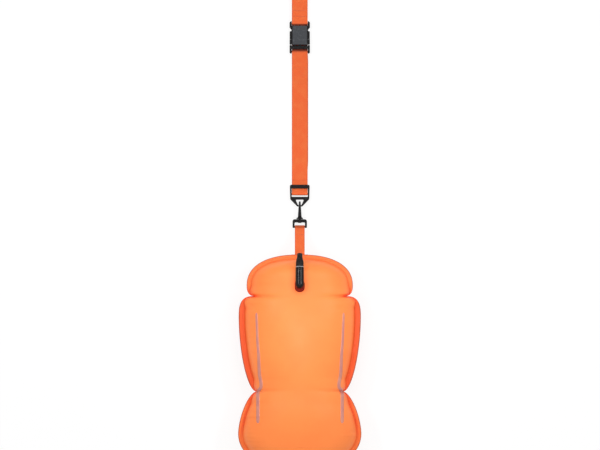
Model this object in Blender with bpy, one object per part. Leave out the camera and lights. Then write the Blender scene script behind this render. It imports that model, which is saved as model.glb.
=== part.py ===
"""Open water swim buoy: an inflated float with an oral valve, a leash with a swivel snap hook,
and a waist belt with a tri-glide ring and a side-release buckle.

Metres, +Z up. The buoy lies on its back with its belt stretched out along +Y. The float's welded
edge lies in a level plane, and the origin is under the middle of the whole thing, on the surface
that it lies on.
"""

import math

import bmesh
import bpy
from mathutils import Matrix, Vector

# Clearances
GAP = 0.0003                      # between pieces that touch
RUNNING_GAP = 0.0004              # round a pin, a ball or a slide
CUT_OVERRUN = 0.002               # how far a cutter runs past what it cuts

# The float's outline, measured down from its top edge
FLOAT_TOP_Y = -0.0775             # of the top edge, from the middle of the stretched-out buoy
FLOAT_LENGTH = 0.541
TOP_LOBE_HALF_WIDTH = 0.1325
TOP_LOBE_WIDEST_AT = 0.0788
UPPER_NOTCH_HALF_WIDTH = 0.1138
UPPER_NOTCH_AT = 0.1038
MIDDLE_LOBE_HALF_WIDTH = 0.1525
MIDDLE_LOBE_WIDEST_AT = 0.1563
LOWER_NOTCH_HALF_WIDTH = 0.1088
LOWER_NOTCH_AT = 0.342
BOTTOM_LOBE_HALF_WIDTH = 0.1538
BOTTOM_LOBE_WIDEST_AT = 0.4463
TOP_END_ROUNDNESS = 2.35          # exponents of the rounded stretches; 2 is an ellipse
UNDER_TOP_LOBE_ROUNDNESS = 2.3
MIDDLE_SHOULDER_ROUNDNESS = 2.9
MIDDLE_TAPER_ROUNDNESS = 1.8
BOTTOM_SHOULDER_ROUNDNESS = 1.6
BOTTOM_END_ROUNDNESS = 2.15

# The float's cloth and its blown-up form
CLOTH_THICKNESS = 0.0006
FLANGE_WIDTH = 0.012
MIDDLE_FLANGE_WIDTH = 0.0155      # beside the middle lobe
FLANGE_WIDTH_AT_NOTCH = 0.003
NOTCH_REACH = 0.03                # how far from a notch the flange narrows
FLANGE_HEIGHT = 0.072             # of the welded edge above the surface that the float lies on
FRONT_CROWN = 0.071
BACK_CROWN = 0.078                # cut flat where it lies
CROWN_END_REACH = 0.17            # how far the crown takes to rise at each end
END_SINK = 0.02                   # how much lower the ridge would be at the very ends
NOTCH_SINK = 0.006                # how much lower the crown is between two lobes
NOTCH_SINK_REACH = 0.045
SPINE_INSET_SHARE = 0.62          # share of an end lobe's depth where its ridge ends
WALL_STEEPNESS = 2.1
CROWN_FULLNESS = 1.75
STRETCH_POINTS = (8, 3, 5, 7, 5, 8)     # outline points per rounded stretch
RING_SHARES = (0.0, 0.045, 0.13, 0.27, 0.46, 0.7, 1.0)

# Oral valve, measured along its tube from the middle of its rounded root
VALVE_FROM_TOP = 0.0735           # of the tube's root from the float's top edge
VALVE_LIFT = 0.0138               # of the root's middle above the cloth
TUBE_TILT = math.radians(9.0)
TUBE_RADIUS = 0.0104
TUBE_REACH = 0.0425
TUBE_BORE_RADIUS = 0.0065
TUBE_BORE_BOTTOM = 0.004
AIR_HOLE_RADIUS = 0.003
TUBE_LIP_ROUND = 0.0012
BOSS_RADIUS = 0.0094
BOSS_OFFSET = 0.0078              # of the boss's middle below the root
BOSS_DROP = 0.001                 # of its top below the root's middle
BOSS_ROUND = 0.003
COLLAR_RADIUS = 0.019
COLLAR_THICKNESS = 0.0012
COLLAR_DROP = 0.004               # of the collar below the lowest cloth over it
WASHER_THICKNESS = 0.0014
WASHER_RADIUS = 0.0099
SEAL_AT = 0.0188
SEAL_THICKNESS = 0.0022
SEAL_HOLE_RADIUS = 0.0031
POPPET_DISC_RADIUS = 0.0056
POPPET_DISC_THICKNESS = 0.0022
POPPET_STEM_RADIUS = 0.0024
POPPET_TRAVEL = 0.003
NOZZLE_RADIUS = 0.0058
NOZZLE_BORE_RADIUS = 0.0034
NOZZLE_FROM = 0.0325
NOZZLE_REACH = 0.056
NOZZLE_BORE_DEPTH = 0.018
SPRING_WIRE_RADIUS = 0.0004
SPRING_RADIUS = 0.0042
SPRING_TURNS = 6
SPRING_POINTS_PER_TURN = 10
CAP_RADIUS = 0.0097
CAP_TIP_RADIUS = 0.0069
CAP_LENGTH = 0.0335
CAP_SKIRT_SHARE = 0.42            # share of the cap's length before it tapers
CAP_BORE_LENGTH = 0.016
CAP_ROUND = 0.0016

# Leash, swivel and snap hook
LEASH_WIDTH = 0.0245
WEBBING_THICKNESS = 0.0015
LEASH_LAP = 0.034                 # how far the leash's end is sewn back on itself
TAB_LENGTH = 0.0105               # of the leash's end and its patch under the weld
PATCH_WIDTH = 0.044
LEASH_HINGE_OUT = 0.0035          # of the leash's bending line past the float's top edge
CHAIN_HEIGHT = 0.0102             # of the middle of the hook, the swivel and the ring
BASE_BAR_Y = -0.0085
BASE_BAR_RADIUS = 0.0024
BASE_HALF_WIDTH = 0.018
BASE_RAIL_WIDTH = 0.005
BASE_THICKNESS = 0.0052
BASE_ARCH_BOTTOM = 0.011          # above the bar's middle, as the next two
BASE_ARCH_TOP = 0.0192
BASE_TOE = 0.0026                 # how far the rails run below the bar's middle
BASE_CORNER = 0.0055
SWIVEL_BARREL_RADIUS = 0.0058
SWIVEL_PIN_RADIUS = 0.0024
SWIVEL_HEAD_RADIUS = 0.0042
SWIVEL_HEAD_THICKNESS = 0.0024
SWIVEL_HEAD_SHOWS = 0.0012
COLLAR_DISC_RADIUS = 0.0082
COLLAR_DISC_LENGTH = 0.003
HOOK_NECK_RADIUS = 0.0048
HOOK_NECK_LENGTH = 0.0052
HOOK_HALF_DEPTH = 0.0102
HOOK_BAR = 0.0048                 # of the spine and the nose, across
HOOK_BOW_BAR = 0.0082             # of the bow at its top
HOOK_BOW_CENTRE_Y = 0.0418
HOOK_SPINE_FROM_Y = 0.0205
HOOK_NOSE_FROM_Y = 0.0385
HOOK_HALF_THICKNESS = 0.0044      # beside the neck
HOOK_TIP_HALF_THICKNESS = 0.0021
GATE_THICKNESS = 0.0026
GATE_TONGUE = 0.0024              # how far the gate reaches in under the nose
GATE_ROOT_RADIUS = 0.0017
GATE_SIDE_SHARE = 0.82            # of the gate's width in the hook's

# Belt ring: a tri-glide with a triangular eye for the hook
RING_THICKNESS = 0.004
RING_HALF_WIDTH = 0.0249
RING_RAIL = 0.0047
RING_TOP_Y = 0.097
RING_TOP_BAR = 0.009
RING_CORNER = 0.004
RING_BAR_Y = 0.074
RING_BAR_RADIUS = 0.0019
RING_WINDOW_BOTTOM_Y = 0.065
RING_SHOULDER_Y = 0.0605
RING_SHOULDER_HALF = 0.0238
RING_EYE_TOP_Y = 0.0595
RING_EYE_TOP_HALF = 0.0104
RING_EYE_BOTTOM_Y = 0.046
RING_EYE_BOTTOM_HALF = 0.0042
RING_EYE_CORNER = 0.0016
RING_FOOT_Y = 0.0425
RING_FOOT_HALF = 0.0062
RING_FOOT_ROUND = 0.003
RING_EDGE_ROUND = 0.0008

# Belt webbing
BELT_WIDTH = 0.0394
BELT_TOP_Y = 0.61875
BELT_LANDS_Y = 0.118              # where the webbing comes down to the surface past the ring
BELT_SPLIT_Y = 0.108
BELT_TAIL_Y = 0.366
BELT_LAP = 0.038
LAP_RISE_SHARE = 0.385            # share of the lap before it lies flat
RING_STEP_LAYERS = 1.9            # layers that the back run lies below the ring's top bar

# Side-release buckle
BUCKLE_HALF_HEIGHT = 0.0054
BUCKLE_HALF_WIDTH = 0.0254
BUCKLE_FACE_HALF_WIDTH = 0.0181
BUCKLE_SIDE_HALF_HEIGHT = 0.0038
BUCKLE_CAVITY_HALF_HEIGHT = 0.0026
BUCKLE_RAIL = 0.0052
SOCKET_TOP_Y = 0.50625
SOCKET_MOUTH_Y = 0.4475
SOCKET_SLOT_Y = 0.4954
SOCKET_BAR_Y = 0.4996
SOCKET_BAR_RADIUS = 0.0018
SOCKET_WAIST_Y = 0.4865
SOCKET_WAIST_HALF = 0.0222
SOCKET_WINDOW_FROM_Y = 0.461
SOCKET_WINDOW_TO_Y = 0.4845
SOCKET_WINDOW_HALF = 0.0208
SOCKET_CORNER = 0.0035
EAR_CORNER = 0.0048
PLUG_CORNER = 0.0033
PLUG_END_Y = 0.4252
PLUG_SHOULDER_Y = 0.4468
PLUG_BLOCK_FROM_Y = 0.4373
PLUG_BLOCK_TO_Y = 0.4443
PLUG_BAR_Y = 0.4302
PLUG_BAR_RADIUS = 0.0018
TONGUE_HALF_WIDTH = 0.0032
TONGUE_HALF_HEIGHT = 0.002
TONGUE_END_Y = 0.4785
TONGUE_ROUND_SHARE = 0.8
ARM_ROOT_X = 0.013
ARM_ROOT_RADIUS = 0.0018
ARM_HEAD_X = 0.0252
ARM_TIP_X = 0.0195
ARM_TIP_Y = 0.4825
ARM_ELBOW_Y = 0.470
ROOT_ROUND_SHARE = 0.98

# Colours, as shares of red, green and blue
SKIN_ORANGE = (0.98, 0.36, 0.10)
WEBBING_ORANGE = (0.93, 0.16, 0.03)
WELD_RED = (0.85, 0.10, 0.03)
BLACK_RUBBER = (0.02, 0.018, 0.02)
BLACK_PLASTIC = (0.025, 0.025, 0.027)
GREY_PLASTIC = (0.075, 0.08, 0.09)
PALE_GREY = (0.55, 0.56, 0.58)
STEEL = (0.6, 0.6, 0.62)

ROUND_SEGMENTS = 32


def shaded(mesh):
    """Smooth shading with edges kept sharp where the surface turns."""
    mesh.shade_smooth()
    mesh.set_sharp_from_angle(angle=math.radians(35.0))


def plain_material(name, colour, roughness, metallic=0.0):
    """A Principled material with the piece's colour."""
    material = bpy.data.materials.new(name + "_material")
    material.use_nodes = True
    surface = material.node_tree.nodes["Principled BSDF"]
    surface.inputs["Base Color"].default_value = (*colour, 1.0)
    surface.inputs["Roughness"].default_value = roughness
    surface.inputs["Metallic"].default_value = metallic
    material.diffuse_color = (*colour, 1.0)
    return material


def add_object(name, mesh, colour, roughness, metallic=0.0, parent=None):
    """Link a finished mesh as one named piece."""
    shaded(mesh)
    piece = bpy.data.objects.new(name, mesh)
    mesh.materials.append(plain_material(name, colour, roughness, metallic))
    bpy.context.scene.collection.objects.link(piece)
    piece.parent = parent
    return piece


def pivot(name, place, turn=(0.0, 0.0, 0.0)):
    """An empty on a joint's axis."""
    empty = bpy.data.objects.new(name, None)
    empty.location = place
    empty.rotation_euler = turn
    bpy.context.scene.collection.objects.link(empty)
    return empty


def mesh_from(build, name):
    """Run build on a new bmesh and return the mesh, with its faces turned outwards."""
    shape = bmesh.new()
    build(shape)
    bmesh.ops.recalc_face_normals(shape, faces=shape.faces)
    mesh = bpy.data.meshes.new(name)
    shape.to_mesh(mesh)
    shape.free()
    return mesh


def turned(profile, segments=ROUND_SEGMENTS):
    """Mesh builder for a solid turned about the local Y axis, from (radius, reach) points."""
    def build(shape):
        corners = [shape.verts.new((radius, reach, 0.0)) for radius, reach in profile]
        edges = []
        for index, corner in enumerate(corners):
            following = corners[(index + 1) % len(corners)]
            on_axis = corner.co.x == 0.0 and following.co.x == 0.0
            if not on_axis:
                edges.append(shape.edges.new((corner, following)))
        bmesh.ops.spin(shape, geom=corners + edges, cent=(0.0, 0.0, 0.0), axis=(0.0, 1.0, 0.0),
                       angle=math.tau, steps=segments, use_merge=True)
        bmesh.ops.remove_doubles(shape, verts=shape.verts, dist=GAP / ROUND_SEGMENTS)
    return build


def cut(piece, cutter):
    """Cut a piece with a hidden cutter that follows the same parent."""
    cutter.hide_render = True
    cutter.display_type = "WIRE"
    cutter.parent = piece.parent
    modifier = piece.modifiers.new("cut_" + cutter.name, "BOOLEAN")
    modifier.operation = "DIFFERENCE"
    modifier.solver = "EXACT"
    modifier.object = cutter


def add_cutter(name, mesh):
    cutter = bpy.data.objects.new(name, mesh)
    bpy.context.scene.collection.objects.link(cutter)
    return cutter


def arc_points(centre, radius, start, end, steps):
    """Points on a circle in the drawing plane, from one angle to another, both in degrees."""
    angles = [math.radians(start + (end - start) * step / steps) for step in range(steps + 1)]
    return [(centre[0] + radius * math.cos(angle), centre[1] + radius * math.sin(angle))
            for angle in angles]


def smooth_step(share):
    share = min(1.0, max(0.0, share))
    return share * share * (3.0 - 2.0 * share)


# The float's outline and its blown-up height


def rounded_stretch(pole, widest, roundness, steps):
    """Quarter of a superellipse from its pole to its widest point, as (half width, depth)."""
    points = []
    for step in range(steps + 1):
        angle = math.radians(90.0) * step / steps
        out = math.sin(angle) ** (2.0 / roundness)
        back = math.cos(angle) ** (2.0 / roundness)
        points.append((pole[0] + (widest[0] - pole[0]) * out, widest[1] + (pole[1] - widest[1]) * back))
    return points


def half_outline():
    """The float's right-hand edge from its top end to its bottom end."""
    upper_notch = (UPPER_NOTCH_HALF_WIDTH, UPPER_NOTCH_AT)
    lower_notch = (LOWER_NOTCH_HALF_WIDTH, LOWER_NOTCH_AT)
    top_lobe = (TOP_LOBE_HALF_WIDTH, TOP_LOBE_WIDEST_AT)
    middle_lobe = (MIDDLE_LOBE_HALF_WIDTH, MIDDLE_LOBE_WIDEST_AT)
    bottom_lobe = (BOTTOM_LOBE_HALF_WIDTH, BOTTOM_LOBE_WIDEST_AT)
    stretches = (
        ((0.0, 0.0), top_lobe, TOP_END_ROUNDNESS, False),
        (upper_notch, top_lobe, UNDER_TOP_LOBE_ROUNDNESS, True),
        (upper_notch, middle_lobe, MIDDLE_SHOULDER_ROUNDNESS, False),
        (lower_notch, middle_lobe, MIDDLE_TAPER_ROUNDNESS, True),
        (lower_notch, bottom_lobe, BOTTOM_SHOULDER_ROUNDNESS, False),
        ((0.0, FLOAT_LENGTH), bottom_lobe, BOTTOM_END_ROUNDNESS, True),
    )
    outline = [(0.0, 0.0)]
    for (pole, widest, roundness, downwards), steps in zip(stretches, STRETCH_POINTS):
        points = rounded_stretch(pole, widest, roundness, steps)
        if downwards:
            points.reverse()
        outline += points[1:]
    return outline


def flange_width(depth):
    """The weld narrows towards the two notches."""
    nearest = min(abs(depth - UPPER_NOTCH_AT), abs(depth - LOWER_NOTCH_AT))
    wider = smooth_step(nearest / NOTCH_REACH)
    widest = MIDDLE_FLANGE_WIDTH if UPPER_NOTCH_AT < depth < LOWER_NOTCH_AT else FLANGE_WIDTH
    return FLANGE_WIDTH_AT_NOTCH + (widest - FLANGE_WIDTH_AT_NOTCH) * wider


def inner_edge(outline):
    """The outline moved in by the weld's width, square to the edge."""
    inner = []
    last = len(outline) - 1
    for index, (width, depth) in enumerate(outline):
        before = Vector(outline[max(index - 1, 0)])
        after = Vector(outline[min(index + 1, last)])
        if index == 0:
            before = Vector((-after.x, after.y))
        if index == last:
            after = Vector((-before.x, before.y))
        along = (after - before).normalized()
        weld = flange_width(depth)
        inner.append((max(0.0, width - along.y * weld), depth + along.x * weld))
    return inner


def crown_height(depth, crown):
    """How far the ridge stands above the welded edge at a depth below the top edge."""
    top_share = max(0.0, 1.0 - depth / CROWN_END_REACH)
    bottom_share = max(0.0, 1.0 - (FLOAT_LENGTH - depth) / CROWN_END_REACH)
    ends = END_SINK * (top_share ** 2 + bottom_share ** 2)
    notches = sum(math.exp(-((depth - notch) / NOTCH_SINK_REACH) ** 2)
                  for notch in (UPPER_NOTCH_AT, LOWER_NOTCH_AT))
    return crown - ends - NOTCH_SINK * notches


def ridge_depth(depth):
    """The point of the ridge that an outline point is joined to."""
    first = TOP_LOBE_WIDEST_AT * SPINE_INSET_SHARE
    last = FLOAT_LENGTH - (FLOAT_LENGTH - BOTTOM_LOBE_WIDEST_AT) * SPINE_INSET_SHARE
    return min(last, max(first, depth))


def wall_share(share):
    """Height of the cloth between the weld, at 0, and the ridge, at 1."""
    return (1.0 - (1.0 - share) ** WALL_STEEPNESS) ** (1.0 / CROWN_FULLNESS)


def float_y(depth):
    return FLOAT_TOP_Y - depth


def panel_surface(crown, upwards):
    """Mesh builder for one panel's middle surface: the weld, then rings that climb to the ridge."""
    side = GAP / 2.0 + CLOTH_THICKNESS / 2.0
    lowest = CLOTH_THICKNESS / 2.0

    def height(rise):
        if upwards:
            return FLANGE_HEIGHT + side + rise
        return max(lowest, FLANGE_HEIGHT - side - rise)

    def build(shape):
        right = list(zip(half_outline(), inner_edge(half_outline())))
        left = [((-outer[0], outer[1]), (-inner[0], inner[1])) for outer, inner in right[-2:0:-1]]
        rings = [[] for _ in range(len(RING_SHARES) + 1)]
        for outer, inner in right + left:
            ridge = ridge_depth(outer[1])
            rise = crown_height(ridge, crown)
            rings[0].append(shape.verts.new((outer[0], float_y(outer[1]), height(0.0))))
            for ring, share in zip(rings[1:], RING_SHARES):
                x = inner[0] * (1.0 - share)
                depth = inner[1] + (ridge - inner[1]) * share
                ring.append(shape.verts.new((x, float_y(depth), height(rise * wall_share(share)))))
        for lower, upper in zip(rings, rings[1:]):
            for index in range(len(lower)):
                following = (index + 1) % len(lower)
                shape.faces.new((lower[index], lower[following], upper[following], upper[index]))
        bmesh.ops.remove_doubles(shape, verts=shape.verts, dist=GAP)
        bmesh.ops.dissolve_degenerate(shape, edges=shape.edges, dist=GAP / ROUND_SEGMENTS)
    return build


def add_panel(name, crown, upwards, colour):
    panel = add_object(name, mesh_from(panel_surface(crown, upwards), name), colour, 0.45)
    wall = panel.modifiers.new("cloth", "SOLIDIFY")
    wall.thickness = CLOTH_THICKNESS
    wall.offset = 0.0
    wall.use_even_offset = True
    return panel


def front_height(depth):
    """Middle of the front cloth over the centre line, between the ends of the ridge."""
    return FLANGE_HEIGHT + GAP / 2.0 + CLOTH_THICKNESS / 2.0 + crown_height(depth, FRONT_CROWN)


# The oral valve

def hidden_cylinder(name, radius, start, end, turn, parent=None, segments=ROUND_SEGMENTS):
    """Cutter along its own Z axis, turned by a rotation matrix and then shifted in its mesh."""
    mesh = bpy.data.meshes.new(name)
    shape = bmesh.new()
    bmesh.ops.create_cone(shape, cap_ends=True, segments=segments, radius1=radius, radius2=radius,
                          depth=end - start)
    bmesh.ops.translate(shape, verts=shape.verts, vec=(0.0, 0.0, (start + end) / 2.0))
    bmesh.ops.transform(shape, matrix=turn, verts=shape.verts)
    shape.to_mesh(mesh)
    shape.free()
    cutter = add_cutter(name, mesh)
    cutter.parent = parent
    return cutter


def root_place():
    """Middle of the valve tube's rounded root."""
    return Vector((0.0, float_y(VALVE_FROM_TOP), front_height(VALVE_FROM_TOP) + VALVE_LIFT))


def tube_profile():
    """Half section of the tube: a round root, a straight wall and an open bore."""
    round_end = [(0.0, -TUBE_RADIUS)] + arc_points((0.0, 0.0), TUBE_RADIUS, -90.0, 0.0, 8)[1:]
    lip = arc_points((TUBE_RADIUS - TUBE_LIP_ROUND, TUBE_REACH - TUBE_LIP_ROUND), TUBE_LIP_ROUND,
                     0.0, 90.0, 3)
    bore = [(TUBE_BORE_RADIUS, TUBE_REACH), (TUBE_BORE_RADIUS, TUBE_BORE_BOTTOM),
            (0.0, TUBE_BORE_BOTTOM)]
    return round_end + lip + bore


def add_valve_tube(parent):
    tube = add_object("valve_tube", mesh_from(turned(tube_profile()), "valve_tube"),
                      BLACK_RUBBER, 0.18, parent=parent)
    air_hole = hidden_cylinder("air_hole_cutter", AIR_HOLE_RADIUS, -TUBE_RADIUS - CUT_OVERRUN,
                               TUBE_BORE_BOTTOM + CUT_OVERRUN,
                               Matrix.Rotation(math.radians(-90.0), 4, "X"), segments=16)
    cut(tube, air_hole)
    return tube


def add_valve_inside(parent):
    """The rubber seat, the poppet with its blowing nozzle, and the spring that shuts it."""
    seat_radius = TUBE_BORE_RADIUS - GAP
    seal_end = SEAL_AT + SEAL_THICKNESS
    seal = [(SEAL_HOLE_RADIUS, SEAL_AT), (seat_radius, SEAL_AT), (seat_radius, seal_end),
            (SEAL_HOLE_RADIUS, seal_end)]
    add_object("valve_seal", mesh_from(turned(seal, 24), "valve_seal"), BLACK_RUBBER, 0.6,
               parent=parent)
    disc_end = SEAL_AT - GAP
    disc_start = disc_end - POPPET_DISC_THICKNESS
    nozzle_bore_end = NOZZLE_REACH - NOZZLE_BORE_DEPTH
    poppet = [(0.0, disc_start), (POPPET_DISC_RADIUS, disc_start), (POPPET_DISC_RADIUS, disc_end),
              (POPPET_STEM_RADIUS, disc_end), (POPPET_STEM_RADIUS, NOZZLE_FROM),
              (NOZZLE_RADIUS, NOZZLE_FROM), (NOZZLE_RADIUS, NOZZLE_REACH - TUBE_LIP_ROUND),
              (NOZZLE_RADIUS - TUBE_LIP_ROUND, NOZZLE_REACH), (NOZZLE_BORE_RADIUS, NOZZLE_REACH),
              (NOZZLE_BORE_RADIUS, nozzle_bore_end), (0.0, nozzle_bore_end)]
    add_object("valve_poppet", mesh_from(turned(poppet, 24), "valve_poppet"), BLACK_PLASTIC, 0.4,
               parent=parent)
    add_spring(seal_end + GAP + SPRING_WIRE_RADIUS, NOZZLE_FROM - GAP - SPRING_WIRE_RADIUS, parent)


def add_spring(start, end, parent):
    """Coil spring round the poppet's stem, with its ends wound flat."""
    curve = bpy.data.curves.new("valve_spring", "CURVE")
    curve.dimensions = "3D"
    curve.bevel_depth = SPRING_WIRE_RADIUS
    curve.bevel_resolution = 1
    curve.use_fill_caps = True
    count = SPRING_TURNS * SPRING_POINTS_PER_TURN + 1
    coil = curve.splines.new("POLY")
    coil.points.add(count - 1)
    for index in range(count):
        share = index / (count - 1)
        angle = math.tau * SPRING_TURNS * share
        coil.points[index].co = (SPRING_RADIUS * math.cos(angle), start + (end - start) * share,
                                 SPRING_RADIUS * math.sin(angle), 1.0)
    spring = bpy.data.objects.new("valve_spring", curve)
    curve.materials.append(plain_material("valve_spring", STEEL, 0.3, 1.0))
    bpy.context.scene.collection.objects.link(spring)
    spring.parent = parent


def add_washer_and_cap(parent):
    """Pale washer on the tube's end, and the tapered cap that closes the nozzle."""
    washer_start = TUBE_REACH + GAP
    washer_end = washer_start + WASHER_THICKNESS
    nozzle_clear = NOZZLE_RADIUS + GAP
    washer = [(nozzle_clear, washer_start), (WASHER_RADIUS, washer_start),
              (WASHER_RADIUS, washer_end), (nozzle_clear, washer_end)]
    add_object("tube_washer", mesh_from(turned(washer), "tube_washer"), PALE_GREY, 0.35,
               parent=parent)
    start = washer_end + GAP
    end = start + CAP_LENGTH
    skirt_end = start + CAP_LENGTH * CAP_SKIRT_SHARE
    tip_round = arc_points((CAP_TIP_RADIUS - CAP_ROUND, end - CAP_ROUND), CAP_ROUND, 0.0, 90.0, 3)
    bore_end = start + CAP_BORE_LENGTH
    cap = [(nozzle_clear, start), (CAP_RADIUS - TUBE_LIP_ROUND, start),
           (CAP_RADIUS, start + TUBE_LIP_ROUND), (CAP_RADIUS, skirt_end)]
    cap += tip_round + [(0.0, end), (0.0, bore_end), (nozzle_clear, bore_end)]
    add_object("dust_cap", mesh_from(turned(cap), "dust_cap"), BLACK_PLASTIC, 0.45, parent=parent)


def add_boss(front_panel):
    """Soft boss that comes up through the front panel, with the collar that is welded under it."""
    root = root_place()
    boss_y = root.y - BOSS_OFFSET
    collar_top = min(front_height(VALVE_FROM_TOP + offset)
                     for offset in (BOSS_OFFSET + COLLAR_RADIUS, -COLLAR_RADIUS)) - COLLAR_DROP
    collar_bottom = collar_top - COLLAR_THICKNESS
    boss_top = root.z - BOSS_DROP

    def stadium(shape, radius, bottom, top):
        far = arc_points((0.0, root.y), radius, 0.0, 180.0, 10)
        near = arc_points((0.0, boss_y), radius, 180.0, 360.0, 10)
        ring = [shape.verts.new((x, y, bottom)) for x, y in far + near]
        face = shape.faces.new(ring)
        raised = bmesh.ops.extrude_face_region(shape, geom=[face])["geom"]
        top_verts = [item for item in raised if isinstance(item, bmesh.types.BMVert)]
        bmesh.ops.translate(shape, verts=top_verts, vec=(0.0, 0.0, top - bottom))
        return top_verts

    def build(shape):
        top_verts = stadium(shape, BOSS_RADIUS, collar_bottom, boss_top)
        rim = [edge for edge in shape.edges if all(vert in top_verts for vert in edge.verts)]
        bmesh.ops.bevel(shape, geom=rim, offset=BOSS_ROUND, segments=3, profile=0.5,
                        affect="EDGES", material=-1)

    boss = add_object("valve_boss", mesh_from(build, "valve_boss"), WELD_RED, 0.4)
    collar = add_cutter("collar_form", mesh_from(
        lambda shape: stadium(shape, COLLAR_RADIUS, collar_bottom, collar_top), "collar_form"))
    collar.hide_render = True
    collar.display_type = "WIRE"
    weld = boss.modifiers.new("collar", "BOOLEAN")
    weld.operation = "UNION"
    weld.object = collar
    ball = bpy.data.meshes.new("seat_cutter")
    shape = bmesh.new()
    bmesh.ops.create_uvsphere(shape, u_segments=ROUND_SEGMENTS, v_segments=16,
                              radius=TUBE_RADIUS + RUNNING_GAP)
    bmesh.ops.translate(shape, verts=shape.verts, vec=root)
    shape.to_mesh(ball)
    shape.free()
    cut(boss, add_cutter("seat_cutter", ball))
    along_tube = (Matrix.Translation(root) @ Matrix.Rotation(-TUBE_TILT, 4, "X")
                  @ Matrix.Rotation(math.radians(-90.0), 4, "X"))
    cut(boss, hidden_cylinder("tube_cutter", TUBE_RADIUS + RUNNING_GAP, 0.0,
                              TUBE_REACH, along_tube))
    hole = add_cutter("valve_hole_cutter", mesh_from(
        lambda shape: stadium(shape, BOSS_RADIUS + GAP, collar_top, root.z), "valve_hole_cutter"))
    cut(front_panel, hole)
    return boss


def add_valve(front_panel):
    add_boss(front_panel)
    root = pivot("valve_root", root_place(), (-TUBE_TILT, 0.0, 0.0))
    add_valve_tube(root)
    add_valve_inside(root)
    add_washer_and_cap(root)


# Leash, swivel and snap hook


def drawn_solid(outline, low, high, axes="XY"):
    """Mesh builder for an outline pushed from low to high, square to the plane it is drawn in."""
    place = {"XY": lambda a, b, c: (a, b, c), "YZ": lambda a, b, c: (c, a, b)}[axes]

    def build(shape):
        ring = [shape.verts.new(place(a, b, low)) for a, b in outline]
        face = shape.faces.new(ring)
        raised = bmesh.ops.extrude_face_region(shape, geom=[face])["geom"]
        push = Vector(place(0.0, 0.0, high - low))
        bmesh.ops.translate(shape, verts=[v for v in raised if isinstance(v, bmesh.types.BMVert)],
                            vec=push)
    return build


def rounded_outline(half_width, bottom, top, corners, steps=4):
    """Upright rectangle with its own radius at each corner: top right, top left, bottom left,
    bottom right."""
    centres = ((1.0, top, -1.0, 0.0), (-1.0, top, -1.0, 90.0), (-1.0, bottom, 1.0, 180.0),
               (1.0, bottom, 1.0, 270.0))
    outline = []
    for (side, level, inward, start), radius in zip(centres, corners):
        centre = (side * (half_width - radius), level + inward * radius)
        outline += arc_points(centre, radius, start, start + 90.0, steps)
    return outline


def add_strap(name, path, width, colour, parent=None):
    """Webbing that follows a path in the YZ plane."""
    def build(shape):
        left = [shape.verts.new((-width / 2.0, y, z)) for y, z in path]
        right = [shape.verts.new((width / 2.0, y, z)) for y, z in path]
        for index in range(len(path) - 1):
            shape.faces.new((left[index], right[index], right[index + 1], left[index + 1]))
    strap = add_object(name, mesh_from(build, name), colour, 0.8, parent=parent)
    wall = strap.modifiers.new("webbing", "SOLIDIFY")
    wall.thickness = WEBBING_THICKNESS
    wall.offset = 0.0
    wall.use_even_offset = True
    return strap


def hidden_form(name, mesh):
    form = add_cutter(name, mesh)
    form.hide_render = True
    form.display_type = "WIRE"
    return form


def weld_on(piece, form):
    """Join a hidden form to a piece."""
    form.hide_render = True
    form.display_type = "WIRE"
    modifier = piece.modifiers.new("join_" + form.name, "BOOLEAN")
    modifier.operation = "UNION"
    modifier.solver = "EXACT"
    modifier.object = form


def round_bar(name, radius, half_length, y, z, segments=20):
    """Hidden bar along X."""
    turn = Matrix.Translation((0.0, y, z)) @ Matrix.Rotation(math.radians(90.0), 4, "Y")
    form = hidden_cylinder(name, radius, -half_length, half_length, turn, segments=segments)
    form.hide_render = True
    form.display_type = "WIRE"
    return form


def weld_underside():
    return FLANGE_HEIGHT - GAP / 2.0 - CLOTH_THICKNESS


def leash_hinge():
    """The line that the leash bends on, just past the weld."""
    return (FLOAT_TOP_Y + LEASH_HINGE_OUT, weld_underside() - GAP - WEBBING_THICKNESS / 2.0)


def add_leash_anchor():
    """The leash's end under the top weld, and the patch that is welded over it."""
    hinge_y, hinge_z = leash_hinge()
    end_y = hinge_y - WEBBING_THICKNESS / 2.0 - GAP
    add_strap("leash_sewn_end", [(FLOAT_TOP_Y - TAB_LENGTH, hinge_z), (end_y, hinge_z)],
              LEASH_WIDTH, WEBBING_ORANGE)
    top = hinge_z - WEBBING_THICKNESS / 2.0 - GAP
    outline = rounded_outline(PATCH_WIDTH / 2.0, FLOAT_TOP_Y - TAB_LENGTH, FLOAT_TOP_Y,
                              [TAB_LENGTH / 3.0] * 4)
    add_object("anchor_patch", mesh_from(
        drawn_solid(outline, top - CLOTH_THICKNESS, top), "anchor_patch"), WELD_RED, 0.45)


def leash_path():
    """Down from the float, round the swivel's bar and back under itself."""
    hinge = Vector(leash_hinge())
    bar = Vector((BASE_BAR_Y, CHAIN_HEIGHT))
    radius = BASE_BAR_RADIUS + RUNNING_GAP + WEBBING_THICKNESS / 2.0
    away = hinge - bar
    heading = math.degrees(math.atan2(away.y, away.x))
    opening = math.degrees(math.acos(radius / away.length))
    loop = arc_points(bar, radius, heading - opening, heading + opening - 360.0, 12)
    up = (hinge - Vector(loop[0])).normalized()
    under = Vector((-up.y, up.x))
    layer = WEBBING_THICKNESS + GAP
    sewn_from = Vector(loop[0]) + up * LEASH_LAP / 2.0 + under * layer
    sewn_to = Vector(loop[0]) + up * LEASH_LAP + under * layer
    return [tuple(hinge)] + loop + [tuple(sewn_from), tuple(sewn_to)]


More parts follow.
